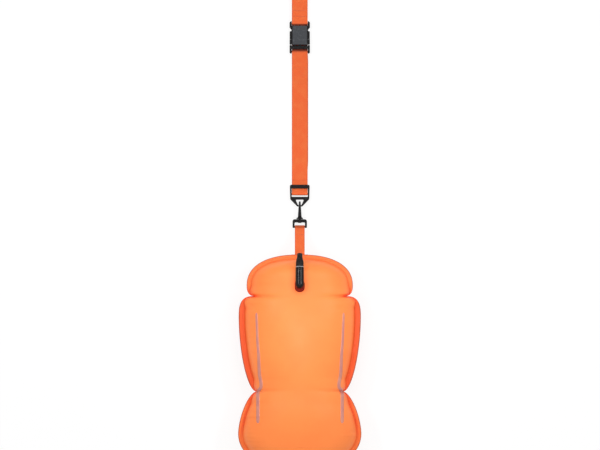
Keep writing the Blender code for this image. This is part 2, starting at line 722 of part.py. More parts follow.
def add_swivel_base():
    """Flat D-shaped base: a round bar for the leash, two rails and an arch with the swivel hole."""
    low = CHAIN_HEIGHT - BASE_THICKNESS / 2.0
    high = CHAIN_HEIGHT + BASE_THICKNESS / 2.0
    outline = [(x, BASE_BAR_Y + y) for x, y in rounded_outline(
        BASE_HALF_WIDTH, -BASE_TOE, BASE_ARCH_TOP,
        (BASE_CORNER, BASE_CORNER, BASE_RAIL_WIDTH / 3.0, BASE_RAIL_WIDTH / 3.0))]
    base = add_object("swivel_base", mesh_from(drawn_solid(outline, low, high), "swivel_base"),
                      BLACK_PLASTIC, 0.4)
    window_half = BASE_HALF_WIDTH - BASE_RAIL_WIDTH
    window = [(x, BASE_BAR_Y + y) for x, y in rounded_outline(
        window_half, -BASE_TOE - CUT_OVERRUN, BASE_ARCH_BOTTOM,
        (BASE_RAIL_WIDTH / 2.0, BASE_RAIL_WIDTH / 2.0, GAP, GAP))]
    cut(base, hidden_form("base_window_cutter", mesh_from(
        drawn_solid(window, low - CUT_OVERRUN, high + CUT_OVERRUN), "base_window_cutter")))
    weld_on(base, round_bar("base_bar_form", BASE_BAR_RADIUS,
                            BASE_HALF_WIDTH - BASE_RAIL_WIDTH / 2.0, BASE_BAR_Y, CHAIN_HEIGHT))
    arch_bottom = BASE_BAR_Y + BASE_ARCH_BOTTOM
    arch_top = BASE_BAR_Y + BASE_ARCH_TOP
    along = Matrix.Translation((0.0, 0.0, CHAIN_HEIGHT)) @ Matrix.Rotation(
        math.radians(-90.0), 4, "X")
    weld_on(base, hidden_cylinder("swivel_barrel_form", SWIVEL_BARREL_RADIUS, arch_bottom,
                                  arch_top - GAP, along, segments=24))
    cut(base, hidden_cylinder("swivel_hole_cutter", SWIVEL_PIN_RADIUS + RUNNING_GAP,
                              arch_bottom - CUT_OVERRUN, arch_top + CUT_OVERRUN, along,
                              segments=24))
    recess = SWIVEL_HEAD_THICKNESS - SWIVEL_HEAD_SHOWS + RUNNING_GAP
    cut(base, hidden_cylinder("swivel_head_cutter", SWIVEL_HEAD_RADIUS + RUNNING_GAP,
                              arch_bottom - CUT_OVERRUN, arch_bottom + recess, along,
                              segments=24))
    return base


def hook_thickness(y):
    """Half thickness of the hook, which thins from its neck to the top of its bow."""
    bow_top = HOOK_BOW_CENTRE_Y + HOOK_HALF_DEPTH + HOOK_BOW_BAR - HOOK_BAR
    share = (y - HOOK_SPINE_FROM_Y) / (bow_top - HOOK_SPINE_FROM_Y)
    share = min(1.0, max(0.0, share))
    return HOOK_HALF_THICKNESS + (HOOK_TIP_HALF_THICKNESS - HOOK_HALF_THICKNESS) * share


def hook_outline():
    """The hook from the side: neck, spine, bow and nose, drawn round the chain's middle line."""
    inner = HOOK_HALF_DEPTH - HOOK_BAR
    bow_reach = inner + HOOK_BOW_BAR
    steps = 10
    outer_bow = []
    inner_bow = []
    for step in range(steps + 1):
        angle = math.radians(-90.0 + 180.0 * step / steps)
        outer_bow.append((HOOK_BOW_CENTRE_Y + bow_reach * math.cos(angle),
                          HOOK_HALF_DEPTH * math.sin(angle)))
        inner_bow.append((HOOK_BOW_CENTRE_Y + inner * math.cos(angle), inner * math.sin(angle)))
    inner_bow.reverse()
    neck_y = HOOK_SPINE_FROM_Y - HOOK_NECK_LENGTH
    gate_seat = HOOK_HALF_DEPTH - GATE_THICKNESS
    outline = [(neck_y, -HOOK_NECK_RADIUS), (HOOK_SPINE_FROM_Y, -HOOK_HALF_DEPTH)]
    outline += outer_bow
    outline += [(HOOK_NOSE_FROM_Y, HOOK_HALF_DEPTH), (HOOK_NOSE_FROM_Y, inner)]
    outline += inner_bow
    outline += [(HOOK_SPINE_FROM_Y + inner / 2.0, -inner), (HOOK_SPINE_FROM_Y, -inner / 2.0),
                (HOOK_SPINE_FROM_Y, HOOK_HALF_DEPTH - 2.0 * GATE_THICKNESS),
                (HOOK_SPINE_FROM_Y - GATE_THICKNESS, gate_seat), (neck_y, HOOK_NECK_RADIUS)]
    return [(y, CHAIN_HEIGHT + z) for y, z in outline]


def add_snap_hook():
    """Hook body with its collar, its swivel pin and the pin's head, all in one moulding."""
    def thinned(shape):
        drawn_solid(hook_outline(), -HOOK_HALF_THICKNESS, HOOK_HALF_THICKNESS, "YZ")(shape)
        for vert in shape.verts:
            vert.co.x = math.copysign(hook_thickness(vert.co.y), vert.co.x)

    hook = add_object("snap_hook", mesh_from(thinned, "snap_hook"), BLACK_PLASTIC, 0.38)
    arch_bottom = BASE_BAR_Y + BASE_ARCH_BOTTOM
    collar_start = BASE_BAR_Y + BASE_ARCH_TOP + GAP
    collar_end = collar_start + COLLAR_DISC_LENGTH
    head_start = arch_bottom - SWIVEL_HEAD_SHOWS
    head_end = head_start + SWIVEL_HEAD_THICKNESS
    neck_end = HOOK_SPINE_FROM_Y - GATE_THICKNESS
    head_round = SWIVEL_HEAD_SHOWS / 2.0
    swivel = [(0.0, head_start), (SWIVEL_HEAD_RADIUS - head_round, head_start),
              (SWIVEL_HEAD_RADIUS, head_start + head_round), (SWIVEL_HEAD_RADIUS, head_end),
              (SWIVEL_PIN_RADIUS, head_end), (SWIVEL_PIN_RADIUS, collar_start),
              (COLLAR_DISC_RADIUS, collar_start), (COLLAR_DISC_RADIUS, collar_end),
              (HOOK_NECK_RADIUS, collar_end + COLLAR_DISC_LENGTH / 2.0),
              (HOOK_NECK_RADIUS, neck_end), (0.0, neck_end)]
    form = hidden_form("swivel_pin_form", mesh_from(turned(swivel, 24), "swivel_pin_form"))
    form.location.z = CHAIN_HEIGHT
    weld_on(hook, form)
    root_y, root_z = gate_root()
    cut(hook, round_bar("gate_seat_cutter", GATE_ROOT_RADIUS + RUNNING_GAP,
                        HOOK_HALF_THICKNESS + CUT_OVERRUN, root_y, root_z))
    return hook


def gate_root():
    return (HOOK_SPINE_FROM_Y, CHAIN_HEIGHT + HOOK_HALF_DEPTH - GATE_THICKNESS / 2.0 - GAP)


def add_snap_gate():
    """Springy gate from a round root in the neck to a tongue that shuts under the nose."""
    root_y, root_z = gate_root()
    top = root_z + GATE_THICKNESS / 2.0
    bottom = root_z - GATE_THICKNESS / 2.0
    nose_under = CHAIN_HEIGHT + HOOK_HALF_DEPTH - HOOK_BAR - GAP
    tip_y = HOOK_NOSE_FROM_Y + GATE_TONGUE
    step_y = HOOK_NOSE_FROM_Y - GAP
    root = arc_points((root_y, root_z), GATE_ROOT_RADIUS, 50.0, 310.0, 10)
    tongue_bottom = nose_under - GATE_TONGUE / 2.0
    outline = root + [(step_y - GATE_THICKNESS, bottom), (step_y - GATE_TONGUE / 2.0, tongue_bottom),
                      (tip_y, tongue_bottom), (tip_y, nose_under), (step_y, nose_under),
                      (step_y, top - GAP)]

    def thinned(shape):
        drawn_solid(outline, -HOOK_HALF_THICKNESS, HOOK_HALF_THICKNESS, "YZ")(shape)
        for vert in shape.verts:
            side = GATE_SIDE_SHARE * hook_thickness(vert.co.y)
            vert.co.x = math.copysign(side, vert.co.x)

    add_object("snap_gate", mesh_from(thinned, "snap_gate"), BLACK_PLASTIC, 0.38)


def add_leash():
    add_leash_anchor()
    add_strap("leash_webbing", leash_path(), LEASH_WIDTH, WEBBING_ORANGE)
    add_swivel_base()
    add_snap_hook()
    add_snap_gate()


# Belt ring, belt and buckle


def belt_layer(layer):
    """Height of the middle of a belt layer: 0 lies on the surface, 1 on top of it."""
    return WEBBING_THICKNESS / 2.0 + layer * (WEBBING_THICKNESS + GAP)


def buckle_height():
    """Middle of the buckle, which lies on the belt's back run."""
    return WEBBING_THICKNESS + GAP + BUCKLE_HALF_HEIGHT


def rounded_polygon(corners, steps=4):
    """Closed outline from (x, y, radius) corners, each rounded with its own arc."""
    outline = []
    count = len(corners)
    for index, (x, y, radius) in enumerate(corners):
        here = Vector((x, y))
        before = Vector(corners[index - 1][:2])
        after = Vector(corners[(index + 1) % count][:2])
        to_before = (before - here).normalized()
        to_after = (after - here).normalized()
        half_angle = to_before.angle(to_after) / 2.0
        if radius == 0.0:
            outline.append((x, y))
            continue
        reach = radius / math.tan(half_angle)
        centre = here + (to_before + to_after).normalized() * radius / math.sin(half_angle)
        first = here + to_before * reach - centre
        last = here + to_after * reach - centre
        start = math.degrees(math.atan2(first.y, first.x))
        sweep = (math.degrees(math.atan2(last.y, last.x)) - start + 180.0) % 360.0 - 180.0
        outline += arc_points(centre, radius, start, start + sweep, steps)
    return outline


def mirrored_corners(right):
    """Right-hand corners from bottom to top, followed by their mirror images."""
    return right + [(-x, y, radius) for x, y, radius in reversed(right)]


def bevel_edges(shape, chosen, width, segments=2):
    edges = [edge for edge in shape.edges if chosen(edge)]
    bmesh.ops.bevel(shape, geom=edges, offset=width, segments=segments, profile=0.5,
                    affect="EDGES", material=-1)


def edge_round(piece, width, segments=2):
    """Rounded outer edges."""
    modifier = piece.modifiers.new("edge_round", "BEVEL")
    modifier.width = width
    modifier.segments = segments
    modifier.limit_method = "ANGLE"
    modifier.angle_limit = math.radians(50.0)


def add_belt_ring():
    low = CHAIN_HEIGHT - RING_THICKNESS / 2.0
    high = CHAIN_HEIGHT + RING_THICKNESS / 2.0
    outer = rounded_polygon(mirrored_corners([
        (RING_FOOT_HALF, RING_FOOT_Y, RING_FOOT_ROUND),
        (RING_SHOULDER_HALF, RING_SHOULDER_Y, RING_CORNER),
        (RING_HALF_WIDTH, RING_TOP_Y, RING_CORNER)]))

    def plate(shape):
        drawn_solid(outer, low, high)(shape)
        bevel_edges(shape, lambda edge: edge.verts[0].co.z == edge.verts[1].co.z, RING_EDGE_ROUND)

    ring = add_object("belt_ring", mesh_from(plate, "belt_ring"), BLACK_PLASTIC, 0.4)
    window_half = RING_HALF_WIDTH - RING_RAIL
    window = rounded_polygon(mirrored_corners([
        (window_half, RING_WINDOW_BOTTOM_Y, RING_RAIL / 4.0),
        (window_half, RING_TOP_Y - RING_TOP_BAR, RING_RAIL / 4.0)]))
    eye = rounded_polygon(mirrored_corners([
        (RING_EYE_BOTTOM_HALF, RING_EYE_BOTTOM_Y, RING_EYE_CORNER),
        (RING_EYE_TOP_HALF, RING_EYE_TOP_Y, RING_EYE_CORNER)]))
    for name, outline in (("ring_window_cutter", window), ("ring_eye_cutter", eye)):
        cut(ring, hidden_form(name, mesh_from(
            drawn_solid(outline, low - CUT_OVERRUN, high + CUT_OVERRUN), name)))
    weld_on(ring, round_bar("ring_bar_form", RING_BAR_RADIUS, RING_HALF_WIDTH - RING_RAIL / 2.0,
                            RING_BAR_Y, CHAIN_HEIGHT, segments=16))


def belt_paths():
    """Centre lines of the belt: the long run that both folds share, and the lower front run."""
    wrap = RUNNING_GAP + WEBBING_THICKNESS / 2.0
    layer = WEBBING_THICKNESS + GAP
    buckle_z = buckle_height()
    socket_wrap = SOCKET_BAR_RADIUS + wrap
    upper_z = buckle_z + socket_wrap
    fold_radius = (upper_z - belt_layer(0)) / 2.0
    fold = (BELT_TOP_Y - WEBBING_THICKNESS / 2.0 - fold_radius, belt_layer(0) + fold_radius)
    lap_from = SOCKET_BAR_Y + BELT_LAP
    lap_to = SOCKET_BAR_Y + BELT_LAP * LAP_RISE_SHARE
    under_top_bar = CHAIN_HEIGHT - RING_THICKNESS / 2.0 - wrap
    ring_edge = RING_TOP_Y - RING_TOP_BAR
    long_run = [(lap_from, upper_z - layer), (lap_to, upper_z - layer)]
    long_run += arc_points((SOCKET_BAR_Y, buckle_z), socket_wrap, 290.0, 90.0, 8)
    long_run += arc_points(fold, fold_radius, 90.0, -90.0, 10)
    long_run += [(BELT_LANDS_Y + RING_TOP_BAR, belt_layer(0)), (BELT_LANDS_Y, belt_layer(0)),
                 (RING_TOP_Y, under_top_bar - RING_STEP_LAYERS * layer)]
    long_run += arc_points((RING_BAR_Y, CHAIN_HEIGHT), RING_BAR_RADIUS + wrap, 264.0, 62.0, 9)
    split = belt_split_point(under_top_bar)
    long_run += [(ring_edge, under_top_bar), (RING_TOP_Y, under_top_bar - layer / 2.0), split]

    plug_wrap = PLUG_BAR_RADIUS + wrap
    tail_rise = PLUG_BAR_Y - BELT_LAP / 2.0
    front_run = [(BELT_TAIL_Y, belt_layer(1)), (tail_rise, belt_layer(1))]
    front_run += arc_points((PLUG_BAR_Y, buckle_z), plug_wrap, -84.0, 96.0, 8)
    front_run += [(tail_rise, belt_layer(2) + layer), (tail_rise - BELT_LAP / 3.0, belt_layer(2)),
                  (BELT_TAIL_Y - layer, belt_layer(2)), (BELT_TAIL_Y - BELT_LAP / 2.0, belt_layer(1)),
                  (BELT_LANDS_Y + RING_TOP_BAR, belt_layer(1)), (BELT_LANDS_Y, belt_layer(1) + GAP),
                  (split[0] + GAP, split[1])]
    return long_run, front_run


def belt_split_point(under_top_bar):
    """Where the two belt runs meet end to end, just past the ring's top bar."""
    layer = WEBBING_THICKNESS + GAP
    share = (BELT_SPLIT_Y - RING_TOP_Y) / (BELT_LANDS_Y - RING_TOP_Y)
    start = under_top_bar - layer / 2.0
    return (BELT_SPLIT_Y, start + (belt_layer(1) + GAP - start) * share)


def socket_outline():
    return rounded_polygon(mirrored_corners([
        (BUCKLE_HALF_WIDTH, SOCKET_MOUTH_Y, SOCKET_CORNER / 2.0),
        (BUCKLE_HALF_WIDTH, SOCKET_WINDOW_FROM_Y, GAP),
        (SOCKET_WINDOW_HALF, SOCKET_WINDOW_FROM_Y, GAP),
        (SOCKET_WINDOW_HALF, SOCKET_WINDOW_TO_Y, SOCKET_CORNER / 4.0),
        (SOCKET_WAIST_HALF, SOCKET_WAIST_Y, SOCKET_CORNER / 4.0),
        (BUCKLE_HALF_WIDTH, SOCKET_WAIST_Y + SOCKET_CORNER, SOCKET_CORNER / 2.0),
        (BUCKLE_HALF_WIDTH, SOCKET_TOP_Y, EAR_CORNER)]))


def add_buckle_socket():
    """Female half: two plates over an open cavity, side windows, ears and a fixed webbing bar."""
    z = buckle_height()
    socket = add_object("buckle_socket", mesh_from(
        drawn_solid(socket_outline(), z - BUCKLE_SIDE_HALF_HEIGHT, z + BUCKLE_SIDE_HALF_HEIGHT),
        "buckle_socket"), GREY_PLASTIC, 0.45)
    face = rounded_polygon(mirrored_corners([
        (BUCKLE_FACE_HALF_WIDTH, SOCKET_MOUTH_Y + GAP, SOCKET_CORNER / 3.0),
        (BUCKLE_FACE_HALF_WIDTH, SOCKET_SLOT_Y - GAP, SOCKET_CORNER / 3.0)]))

    def face_form(shape):
        drawn_solid(face, z - BUCKLE_HALF_HEIGHT, z + BUCKLE_HALF_HEIGHT)(shape)
        bevel_edges(shape, lambda edge: edge.verts[0].co.z == edge.verts[1].co.z,
                    SOCKET_CORNER / 4.0)

    weld_on(socket, hidden_form("socket_face_form", mesh_from(face_form, "socket_face_form")))
    low = z - BUCKLE_CAVITY_HALF_HEIGHT
    high = z + BUCKLE_CAVITY_HALF_HEIGHT
    mouth_half = BUCKLE_HALF_WIDTH - BUCKLE_RAIL
    side = BUCKLE_HALF_WIDTH + CUT_OVERRUN
    cavity = mirrored_corners([
        (mouth_half, SOCKET_MOUTH_Y - CUT_OVERRUN, 0.0),
        (mouth_half, SOCKET_WINDOW_FROM_Y, 0.0),
        (side, SOCKET_WINDOW_FROM_Y, 0.0),
        (side, SOCKET_WINDOW_TO_Y - GAP, 0.0)])
    cut(socket, hidden_form("socket_cavity_cutter", mesh_from(
        drawn_solid(rounded_polygon(cavity), low, high), "socket_cavity_cutter")))
    slot = mirrored_corners([(mouth_half, SOCKET_SLOT_Y, SOCKET_CORNER / 4.0),
                             (mouth_half, SOCKET_TOP_Y + CUT_OVERRUN, 0.0)])
    cut(socket, hidden_form("socket_slot_cutter", mesh_from(
        drawn_solid(rounded_polygon(slot), z - BUCKLE_HALF_HEIGHT, z + BUCKLE_HALF_HEIGHT),
        "socket_slot_cutter")))
    weld_on(socket, round_bar("socket_bar_form", SOCKET_BAR_RADIUS,
                              BUCKLE_HALF_WIDTH - BUCKLE_RAIL / 2.0, SOCKET_BAR_Y, z,
                              segments=16))


def add_buckle_plug():
    """Male half: two rails, the block that carries the arms and the tongue, and a webbing bar."""
    z = buckle_height()
    low = z - BUCKLE_SIDE_HALF_HEIGHT
    high = z + BUCKLE_SIDE_HALF_HEIGHT
    rail_half = BUCKLE_HALF_WIDTH - BUCKLE_RAIL
    outline = rounded_polygon(mirrored_corners([
        (rail_half, PLUG_BLOCK_FROM_Y, GAP),
        (rail_half, PLUG_END_Y, BUCKLE_RAIL / 3.0),
        (BUCKLE_HALF_WIDTH, PLUG_END_Y, PLUG_CORNER),
        (BUCKLE_HALF_WIDTH, PLUG_SHOULDER_Y, BUCKLE_RAIL / 3.0),
        (rail_half, PLUG_SHOULDER_Y, BUCKLE_RAIL / 3.0),
        (rail_half, PLUG_BLOCK_TO_Y, GAP)]))
    plug = add_object("buckle_plug", mesh_from(drawn_solid(outline, low, high), "buckle_plug"),
                      BLACK_PLASTIC, 0.42)
    edge_round(plug, BUCKLE_RAIL / 6.0)
    weld_on(plug, round_bar("plug_bar_form", PLUG_BAR_RADIUS, BUCKLE_HALF_WIDTH - BUCKLE_RAIL / 2.0,
                            PLUG_BAR_Y, z, segments=16))
    tongue = rounded_polygon(mirrored_corners([
        (TONGUE_HALF_WIDTH, PLUG_BLOCK_TO_Y - CUT_OVERRUN, 0.0),
        (TONGUE_HALF_WIDTH, TONGUE_END_Y, TONGUE_HALF_WIDTH * TONGUE_ROUND_SHARE)]))
    weld_on(plug, hidden_form("tongue_form", mesh_from(drawn_solid(
        tongue, z - TONGUE_HALF_HEIGHT, z + TONGUE_HALF_HEIGHT), "tongue_form")))
    for name, side in (("left", -1.0), ("right", 1.0)):
        seat = hidden_cylinder("arm_seat_cutter_" + name, ARM_ROOT_RADIUS + RUNNING_GAP,
                               low - CUT_OVERRUN, high + CUT_OVERRUN,
                               Matrix.Translation((side * ARM_ROOT_X, arm_root_y(), 0.0)),
                               segments=20)
        cut(plug, seat)


def arm_root_y():
    """The arms turn at the front of the plug's block."""
    return PLUG_BLOCK_TO_Y + GAP


def add_buckle_arms():
    """Two springy arms, whose heads show in the socket's side windows."""
    z = buckle_height()
    root_y = arm_root_y()
    reach = BUCKLE_CAVITY_HALF_HEIGHT - RUNNING_GAP
    stem = ARM_ROOT_RADIUS
    shoulder_y = SOCKET_WINDOW_FROM_Y + GAP
    mouth_half = BUCKLE_HALF_WIDTH - BUCKLE_RAIL
    corners = [
        (ARM_ROOT_X + ARM_ROOT_RADIUS, root_y - ARM_ROOT_RADIUS, ARM_ROOT_RADIUS * ROOT_ROUND_SHARE),
        (ARM_ROOT_X + ARM_ROOT_RADIUS, root_y + stem, stem),
        (mouth_half - 2.0 * stem, shoulder_y - stem, stem),
        (mouth_half - GAP, shoulder_y, GAP),
        (ARM_HEAD_X, shoulder_y, GAP),
        (ARM_HEAD_X, ARM_TIP_Y - stem, stem),
        (ARM_TIP_X, ARM_TIP_Y, stem / 2.0),
        (ARM_ROOT_X + stem, ARM_ELBOW_Y, stem),
        (ARM_ROOT_X - ARM_ROOT_RADIUS, root_y + stem, stem),
        (ARM_ROOT_X - ARM_ROOT_RADIUS, root_y - ARM_ROOT_RADIUS,
         ARM_ROOT_RADIUS * ROOT_ROUND_SHARE)]
    for name, side in (("left", -1.0), ("right", 1.0)):
        arm = [(side * x, y) for x, y in rounded_polygon(corners)]
        add_object("buckle_arm_" + name, mesh_from(drawn_solid(arm, z - reach, z + reach),
                                                   "buckle_arm_" + name), BLACK_PLASTIC, 0.42)


def add_belt():
    long_run, front_run = belt_paths()
    add_strap("belt_webbing", long_run, BELT_WIDTH, WEBBING_ORANGE)
    add_strap("belt_front", front_run, BELT_WIDTH, WEBBING_ORANGE)
    add_belt_ring()
    add_buckle_socket()
    add_buckle_plug()
    add_buckle_arms()


def main():
    for old in list(bpy.data.objects):
        bpy.data.objects.remove(old, do_unlink=True)
    front_panel = add_panel("front_panel", FRONT_CROWN, True, SKIN_ORANGE)
    add_panel("back_panel", BACK_CROWN, False, SKIN_ORANGE)
    add_valve(front_panel)
    add_leash()
    add_belt()


main()
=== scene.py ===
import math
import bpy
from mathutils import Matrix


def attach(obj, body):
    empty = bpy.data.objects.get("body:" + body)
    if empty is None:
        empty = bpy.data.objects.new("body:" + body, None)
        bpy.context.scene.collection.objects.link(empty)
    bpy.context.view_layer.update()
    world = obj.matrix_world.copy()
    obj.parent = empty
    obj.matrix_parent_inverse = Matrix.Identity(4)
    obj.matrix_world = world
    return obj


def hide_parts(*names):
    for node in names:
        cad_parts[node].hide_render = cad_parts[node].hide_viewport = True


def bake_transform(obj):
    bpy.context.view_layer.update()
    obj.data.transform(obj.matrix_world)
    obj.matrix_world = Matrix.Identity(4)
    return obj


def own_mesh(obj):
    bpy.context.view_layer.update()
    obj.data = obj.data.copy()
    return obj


bl_info = {
    "name": "Open water swim buoy",
    "version": (1, 0, 0),
    "blender": (4, 5, 0),
    "location": "3D View > Sidebar > Swim Buoy",
    "description": "Dresses the swim buoy's CAD frame with blown-up cloth, webbing and moulded "
                   "plastic",
    "category": "Object",
}

import bmesh
import bpy
from mathutils import Matrix, Vector, noise
from mathutils.bvhtree import BVHTree

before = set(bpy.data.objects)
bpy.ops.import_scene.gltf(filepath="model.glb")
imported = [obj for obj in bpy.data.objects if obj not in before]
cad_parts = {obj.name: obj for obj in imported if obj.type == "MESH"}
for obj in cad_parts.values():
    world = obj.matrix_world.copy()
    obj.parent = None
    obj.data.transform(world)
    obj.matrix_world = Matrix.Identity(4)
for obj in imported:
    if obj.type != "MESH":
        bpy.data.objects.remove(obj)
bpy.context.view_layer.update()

# Sizes that repeat the CAD source, in metres

FLOAT_TOP_Y = -0.0775
FLOAT_LENGTH = 0.541
TOP_LOBE = (0.1325, 0.0788)
UPPER_NOTCH = (0.1138, 0.1038)
MIDDLE_LOBE = (0.1525, 0.1563)
LOWER_NOTCH = (0.1088, 0.342)
BOTTOM_LOBE = (0.1538, 0.4463)
FLANGE_HEIGHT = 0.072
FLANGE_AT_NOTCH = 0.003
NOTCH_REACH = 0.03
FRONT_CROWN = 0.071
BACK_CROWN = 0.078
GAP = 0.0003
RUNNING_GAP = 0.0004
CLOTH = 0.0006
WEBBING = 0.0015
TAB_LENGTH = 0.0105
PATCH_WIDTH = 0.044
LEASH_HINGE_OUT = 0.0035
LEASH_LAP = 0.034
BASE_BAR_Y = -0.0085
BASE_BAR_RADIUS = 0.0024
BASE_HALF_WIDTH = 0.018
BASE_RAIL_WIDTH = 0.005
BASE_THICKNESS = 0.0052
BASE_ARCH_BOTTOM = 0.011
BASE_ARCH_TOP = 0.0192
BASE_TOE = 0.0026
SWIVEL_BARREL_RADIUS = 0.0058
SWIVEL_PIN_RADIUS = 0.0024
SWIVEL_HEAD_RADIUS = 0.0042
COLLAR_DISC_RADIUS = 0.0082
COLLAR_DISC_LENGTH = 0.003
HOOK_NECK_RADIUS = 0.0048
HOOK_NECK_LENGTH = 0.0052
HOOK_HALF_DEPTH = 0.0102
HOOK_BAR = 0.0048
HOOK_BOW_BAR = 0.0082
HOOK_BOW_CENTRE_Y = 0.0418
HOOK_SPINE_FROM_Y = 0.0205
HOOK_NOSE_FROM_Y = 0.0385
HOOK_HALF_THICKNESS = 0.0044
HOOK_TIP_HALF_THICKNESS = 0.0021
GATE_THICKNESS = 0.0026
GATE_TONGUE = 0.0024
GATE_ROOT_RADIUS = 0.0017
GATE_SIDE_SHARE = 0.82
CHAIN_HEIGHT = 0.0102
RING_THICKNESS = 0.004
RING_HALF_WIDTH = 0.0249
RING_RAIL = 0.0047
RING_WINDOW_BOTTOM_Y = 0.0668
RING_SHOULDER_Y = 0.0605
RING_SHOULDER_HALF = 0.0238
RING_EYE_TOP_Y = 0.0595
RING_EYE_TOP_HALF = 0.0104
RING_EYE_BOTTOM_Y = 0.046
RING_EYE_BOTTOM_HALF = 0.0042
RING_FOOT_Y = 0.0425
RING_FOOT_HALF = 0.0062
RING_TOP_Y = 0.097
RING_TOP_BAR = 0.009
RING_BAR_Y = 0.074
RING_BAR_RADIUS = 0.0019
BELT_TOP_Y = 0.61875
BELT_LANDS_Y = 0.118
BELT_SPLIT_Y = 0.108
BELT_TAIL_Y = 0.366
BELT_LAP = 0.038
BUCKLE_HALF_HEIGHT = 0.0054
BUCKLE_FACE_HALF_WIDTH = 0.0181
BUCKLE_SIDE_HALF_HEIGHT = 0.0038
SOCKET_BAR_Y = 0.4996
SOCKET_BAR_RADIUS = 0.0018
PLUG_BAR_Y = 0.4302
PLUG_BAR_RADIUS = 0.0018
VALVE_FROM_TOP = 0.0735
VALVE_LIFT = 0.0138
TUBE_TILT = math.radians(9.0)
TUBE_RADIUS = 0.0104
TUBE_REACH = 0.0425
TUBE_BORE_RADIUS = 0.0065
BOSS_RADIUS = 0.0094
BOSS_OFFSET = 0.0078
BOSS_DROP = 0.001
WASHER_THICKNESS = 0.0014
WASHER_RADIUS = 0.0099
SEAL_AT = 0.0188
SEAL_END = 0.021
SPRING_WIRE_RADIUS = 0.0004
SPRING_RADIUS = 0.0042
SPRING_TURNS = 6
NOZZLE_RADIUS = 0.0058
NOZZLE_FROM = 0.0325
NOZZLE_REACH = 0.056
CAP_RADIUS = 0.0097
CAP_TIP_RADIUS = 0.0068
CAP_LENGTH = 0.0335
CAP_SKIRT_SHARE = 0.3
CAP_SHOULDER_SHARE = 0.76


def length_setting(name, description, default, low, high):
    return bpy.props.FloatProperty(name=name, description=description, default=default,
                                   min=low, max=high, unit="LENGTH")


def colour_setting(name, description, default):
    return bpy.props.FloatVectorProperty(name=name, description=description, default=default,
                                         size=3, min=0.0, max=1.0, subtype="COLOR")


class BuoyFloatSizes(bpy.types.PropertyGroup):
    """Sizes of the blown-up float's cloth."""
    weld_width: length_setting(
        "Weld Width", "Width of the flat welded edge along the sides",
        0.012, 0.004, 0.02)
    middle_weld_width: length_setting(
        "Middle Weld Width", "Width of the welded edge beside the middle lobe",
        0.0155, 0.004, 0.02)
    notch_draw: length_setting(
        "Notch Draw", "How far the cloth is drawn in beside the notches",
        0.002, 0.0, 0.02)
    pucker_depth: length_setting(
        "Pucker Depth", "How deep the cloth is pinched where it leaves the weld",
        0.0026, 0.0, 0.006)
    pucker_reach: length_setting(
        "Pucker Reach", "How far the puckers run in from the weld",
        0.03, 0.01, 0.08)
    seam_slack: bpy.props.FloatProperty(
        name="Seam Slack", description="How much longer the cloth is than the weld it is held by",
        default=0.035, min=0.0, max=0.1, subtype="FACTOR")
    point_spacing: length_setting(
        "Point Spacing", "Distance between two mesh points along the edge",
        0.0026, 0.001, 0.01)
    strip_width: length_setting(
        "Strip Width", "Width of the two reflective strips",
        0.0085, 0.004, 0.02)


class BuoyStrapSizes(bpy.types.PropertyGroup):
    """Sizes of the webbing."""
    leash_width: length_setting(
        "Leash Width", "Width of the webbing between the float and the hook",
        0.0245, 0.01, 0.05)
    belt_width: length_setting(
        "Belt Width", "Width of the waist belt's webbing",
        0.0394, 0.02, 0.06)
    rib_pitch: length_setting(
        "Rib Pitch", "Distance between two ribs across the webbing",
        0.0016, 0.0005, 0.005)
    stitch_length: length_setting(
        "Stitch Length", "Length of one stitch in the bar tacks",
        0.0028, 0.001, 0.006)


class BuoyFinishColours(bpy.types.PropertyGroup):
    """Colours of the finishes."""
    skin: colour_setting(
        "Float Cloth", "Colour of the coated cloth",
        (0.97, 0.272, 0.066))
    weld: colour_setting(
        "Weld", "Colour of the welded edge, where two layers lie on each other",
        (0.78, 0.093, 0.018))
    webbing: colour_setting(
        "Webbing", "Colour of the belt's and the leash's webbing",
        (0.92, 0.152, 0.035))
    strip: colour_setting(
        "Reflective Strip", "Colour of the reflective strips",
        (0.6, 0.22, 0.2))
    black_plastic: colour_setting(
        "Black Plastic", "Colour of the hook, the ring and the buckle's edges",
        (0.012, 0.012, 0.0125))
    # The buckle's flat face is black plastic painted grey for the white light it reflects.
    grey_plastic: colour_setting(
        "Grey Plastic", "Colour of the buckle's flat face",
        (0.062, 0.066, 0.073))
    tube: colour_setting(
        "Valve Tube", "Colour of the glossy valve tube",
        (0.0022, 0.0017, 0.003))


class BuoyStageSizes(bpy.types.PropertyGroup):
    """The camera, the floor and the lights."""
    camera_distance: length_setting(
        "Camera Distance", "Height of the camera above the buoy's middle plane",
        25.0, 2.0, 40.0)
    frame_width: length_setting(
        "Frame Width", "Width of the picture in the buoy's middle plane",
        1.5, 0.5, 3.0)
    light_strength: bpy.props.FloatProperty(
        name="Light Strength", description="Level of the studio light, where 1 is the plain level",
        default=1.0, min=0.1, max=3.0)


# Shader nodes

CLOTH_THREAD_PITCH = 0.0007
WEBBING_THREAD_PITCH = 0.0011
RIB_SLANT = 0.55


def feed(tree, socket, value):
    """Join a socket to another node's output, or give it a number or colour of its own."""
    if isinstance(value, bpy.types.NodeSocket):
        tree.links.new(value, socket)
    elif isinstance(value, tuple):
        socket.default_value = (*value, 1.0)
    else:
        socket.default_value = value


def add_node(tree, kind, inputs=None, **settings):
    """Node with its settings and inputs; the nodes stand in rows, in the order of making."""
    node = tree.nodes.new("ShaderNode" + kind)
    row, column = divmod(len(tree.nodes), 6)
    node.location = (260.0 * column - 1600.0, 500.0 - 260.0 * row)
    for name, value in settings.items():
        setattr(node, name, value)
    for name, value in (inputs or {}).items():
        feed(tree, node.inputs[name], value)
    return node


def maths(tree, operation, *values):
    return add_node(tree, "Math", dict(enumerate(values)), operation=operation).outputs[0]


